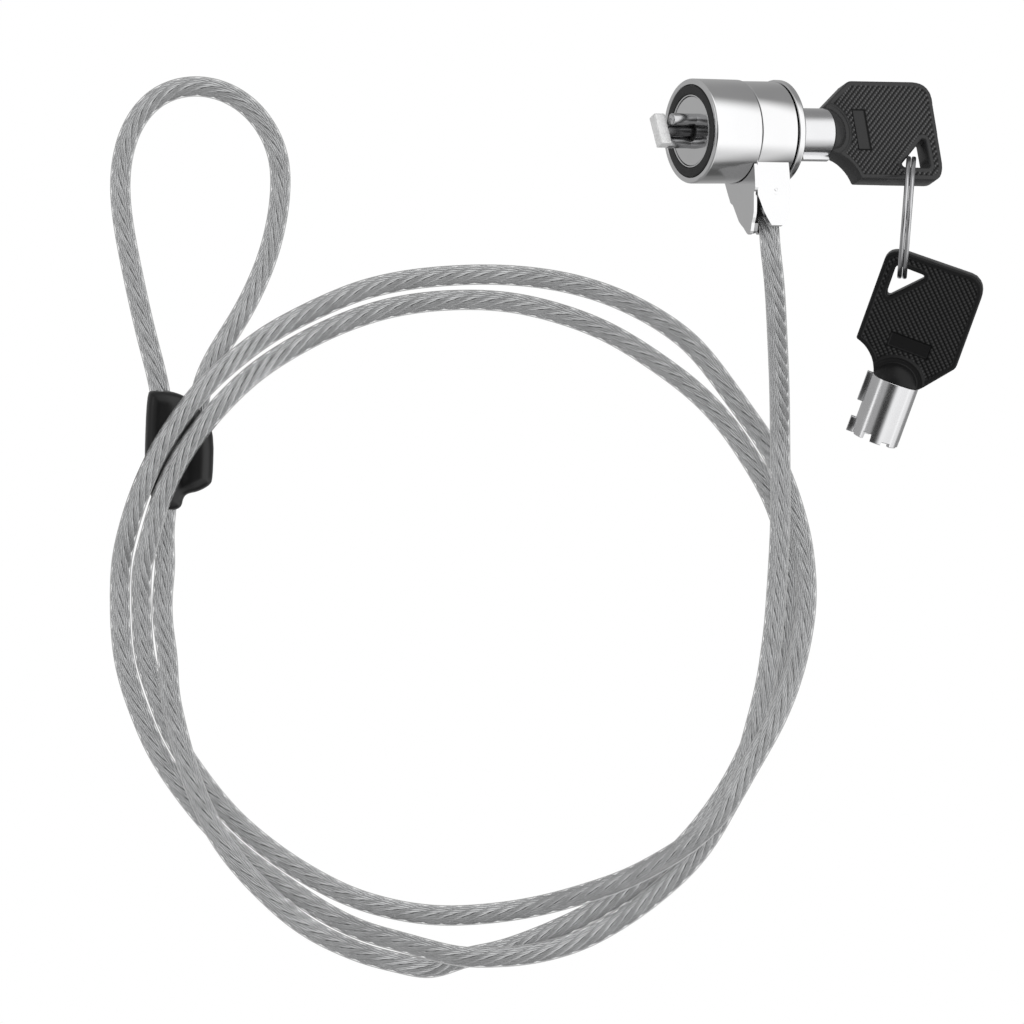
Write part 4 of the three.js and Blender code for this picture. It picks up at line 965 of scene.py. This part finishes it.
# ---------------------------------------------------------------- split ring
def build_ring():
    """nearly two turns of wire, standing upright, stepping sideways between the turns"""
    radius, turn_pitch = 11.2, 0.97
    lift = 0.51                     # the ring's lowest centreline point above the layout's zero
    half_radial, half_side, squareness = 0.50, 0.455, 0.75
    lean = 4.5 * RAD                # of the ring's plane, from +Y towards +X
    degrees = np.linspace(20, 700, 420)
    offset = (smooth01((degrees - 340) / 40) - 0.5) * turn_pitch
    level = np.array([math.sin(lean), math.cos(lean), 0])
    vertical = np.array([0, 0, 1.0])
    normal = np.cross(level, vertical)
    centre = np.array([68.05, 58.24, radius + lift]) - ORIGIN
    radial = (np.outer(np.sin(degrees * RAD), level)
              - np.outer(np.cos(degrees * RAD), vertical))
    path = centre + radius * radial + offset[:, None] * normal
    section = []
    for t in np.arange(16) * 2 * math.pi / 16:
        c, s = math.cos(t), math.sin(t)
        section.append((half_radial * abs(c) ** squareness * np.sign(c),
                        half_side * abs(s) ** squareness * np.sign(s)))
    verts, quads, caps = sweep(path, radial, np.tile(normal, (len(path), 1)),
                               np.array(section))
    make("ring_wire", verts, [face_out(verts, quads)] + caps, RING_STEEL, "ring",
         "split_ring", sharp=50)


build_ring()


# ---------------------------------------------------------------- floor
def build_floor():
    """paper that looks plain white to the camera and diffuse to everything else"""
    half, depth = 6, 0.08           # metres
    paper, tree, surface = new_material("paper")
    diffuse = add_node(tree, "BsdfDiffuse", {"Color": (0.93, 0.93, 0.93, 1)})
    white = add_node(tree, "Emission", {"Strength": 1.0})
    seen = add_node(tree, "LightPath").outputs["Is Camera Ray"]
    tree.links.new(mix_shaders(tree, seen, diffuse, white).outputs[0], surface)
    mesh = bpy.data.meshes.new("floor")
    mesh.from_pydata([(x, y, -depth) for x, y in box_outline(-half, half, -half, half)],
                     [], [(0, 1, 2, 3)])
    floor = bpy.data.objects.new("floor", mesh)
    scene.collection.objects.link(floor)
    mesh.materials.append(paper)
    floor.visible_glossy = False


build_floor()

# ---------------------------------------------------------------- world
# Spots in the reflected surroundings: direction, inner and outer angle in degrees, strength
BRIGHT_SPOTS = [((-0.857, 0.315, 0.407), 3, 13, 0.6),
                ((-0.922, 0.108, 0.374), 2, 8, 0.95),
                ((0.865, -0.455, -0.21), 11, 23, 0.7)]
DARK_SPOTS = [((0.541, -0.835, -0.10), 2, 8, 0.55),
              ((0.36, -0.84, -0.40), 5, 17, 0.45),
              ((0.0, -0.08, 1.0), 14, 29, 0.80),
              ((-0.23, -0.24, 0.94), 12, 21, 0.80)]


def build_world():
    """even white light, except that glossy rays see a shaded studio"""
    minus_x_level, plain_strength = 0.42, 1.22
    world = bpy.data.worlds.new("studio")
    scene.world = world
    world.use_nodes = True
    tree = world.node_tree
    tree.nodes.clear()
    output = add_node(tree, "OutputWorld")
    coords = add_node(tree, "TexCoord").outputs["Generated"]
    ray = add_node(tree, "VectorMath", {0: coords}, operation="NORMALIZE").outputs[0]

    def calc(operation, a, b):
        return add_node(tree, "Math", {0: a, 1: b}, operation=operation).outputs[0]

    def fade(value, low, high, start, end):
        return map_range(tree, value, low, high, start, end, interpolation_type="SMOOTHSTEP")

    def spot(direction, inner, outer, strength):
        dot = add_node(tree, "VectorMath", {0: ray, 1: tuple(unit(direction))},
                       operation="DOT_PRODUCT").outputs["Value"]
        lobe = fade(dot, math.cos(outer * RAD), math.cos(inner * RAD), 0.0, 1.0)
        return calc("MULTIPLY", lobe, strength)

    # brightening with height towards +X, level towards -X, dimmer towards -Y
    x, y, z = add_node(tree, "SeparateXYZ", {0: ray}).outputs
    by_height = fade(z, -0.17, 0.24, 0.30, 1.2)
    plus_x = fade(x, -0.12, 0.32, 0.0, 1.0)
    level = calc("ADD", calc("MULTIPLY", by_height, plus_x),
                 calc("MULTIPLY", calc("SUBTRACT", 1.0, plus_x), minus_x_level))
    level = calc("MULTIPLY", level, fade(y, -0.74, -0.36, 0.62, 1.0))
    for row in BRIGHT_SPOTS:
        level = calc("ADD", level, spot(*row))
    for row in DARK_SPOTS:
        level = calc("MULTIPLY", level, calc("SUBTRACT", 1.0, spot(*row)))
    glossy = add_node(tree, "LightPath").outputs["Is Glossy Ray"]
    plain, studio = (add_node(tree, "Background", {"Color": (1, 1, 1, 1), "Strength": strength})
                     for strength in (plain_strength, level))
    mixed = mix_shaders(tree, glossy, plain, studio)
    tree.links.new(mixed.outputs[0], output.inputs[0])


build_world()

# ---------------------------------------------------------------- camera, straight down
VIEW_WIDTH = 194.56
VIEW_CENTRE = np.array([-6.935, 2.28]) - ORIGIN[:2]
camera = bpy.data.cameras.new("camera")
camera_ob = bpy.data.objects.new("camera", camera)
scene.collection.objects.link(camera_ob)
camera.type = "ORTHO"
camera.ortho_scale = VIEW_WIDTH * MM
camera.clip_start, camera.clip_end = 0.05, 3
camera_ob.location = (*(VIEW_CENTRE * MM), 1.0)
scene.camera = camera_ob
scene.view_settings.view_transform = "Standard"
scene.view_settings.look = "None"
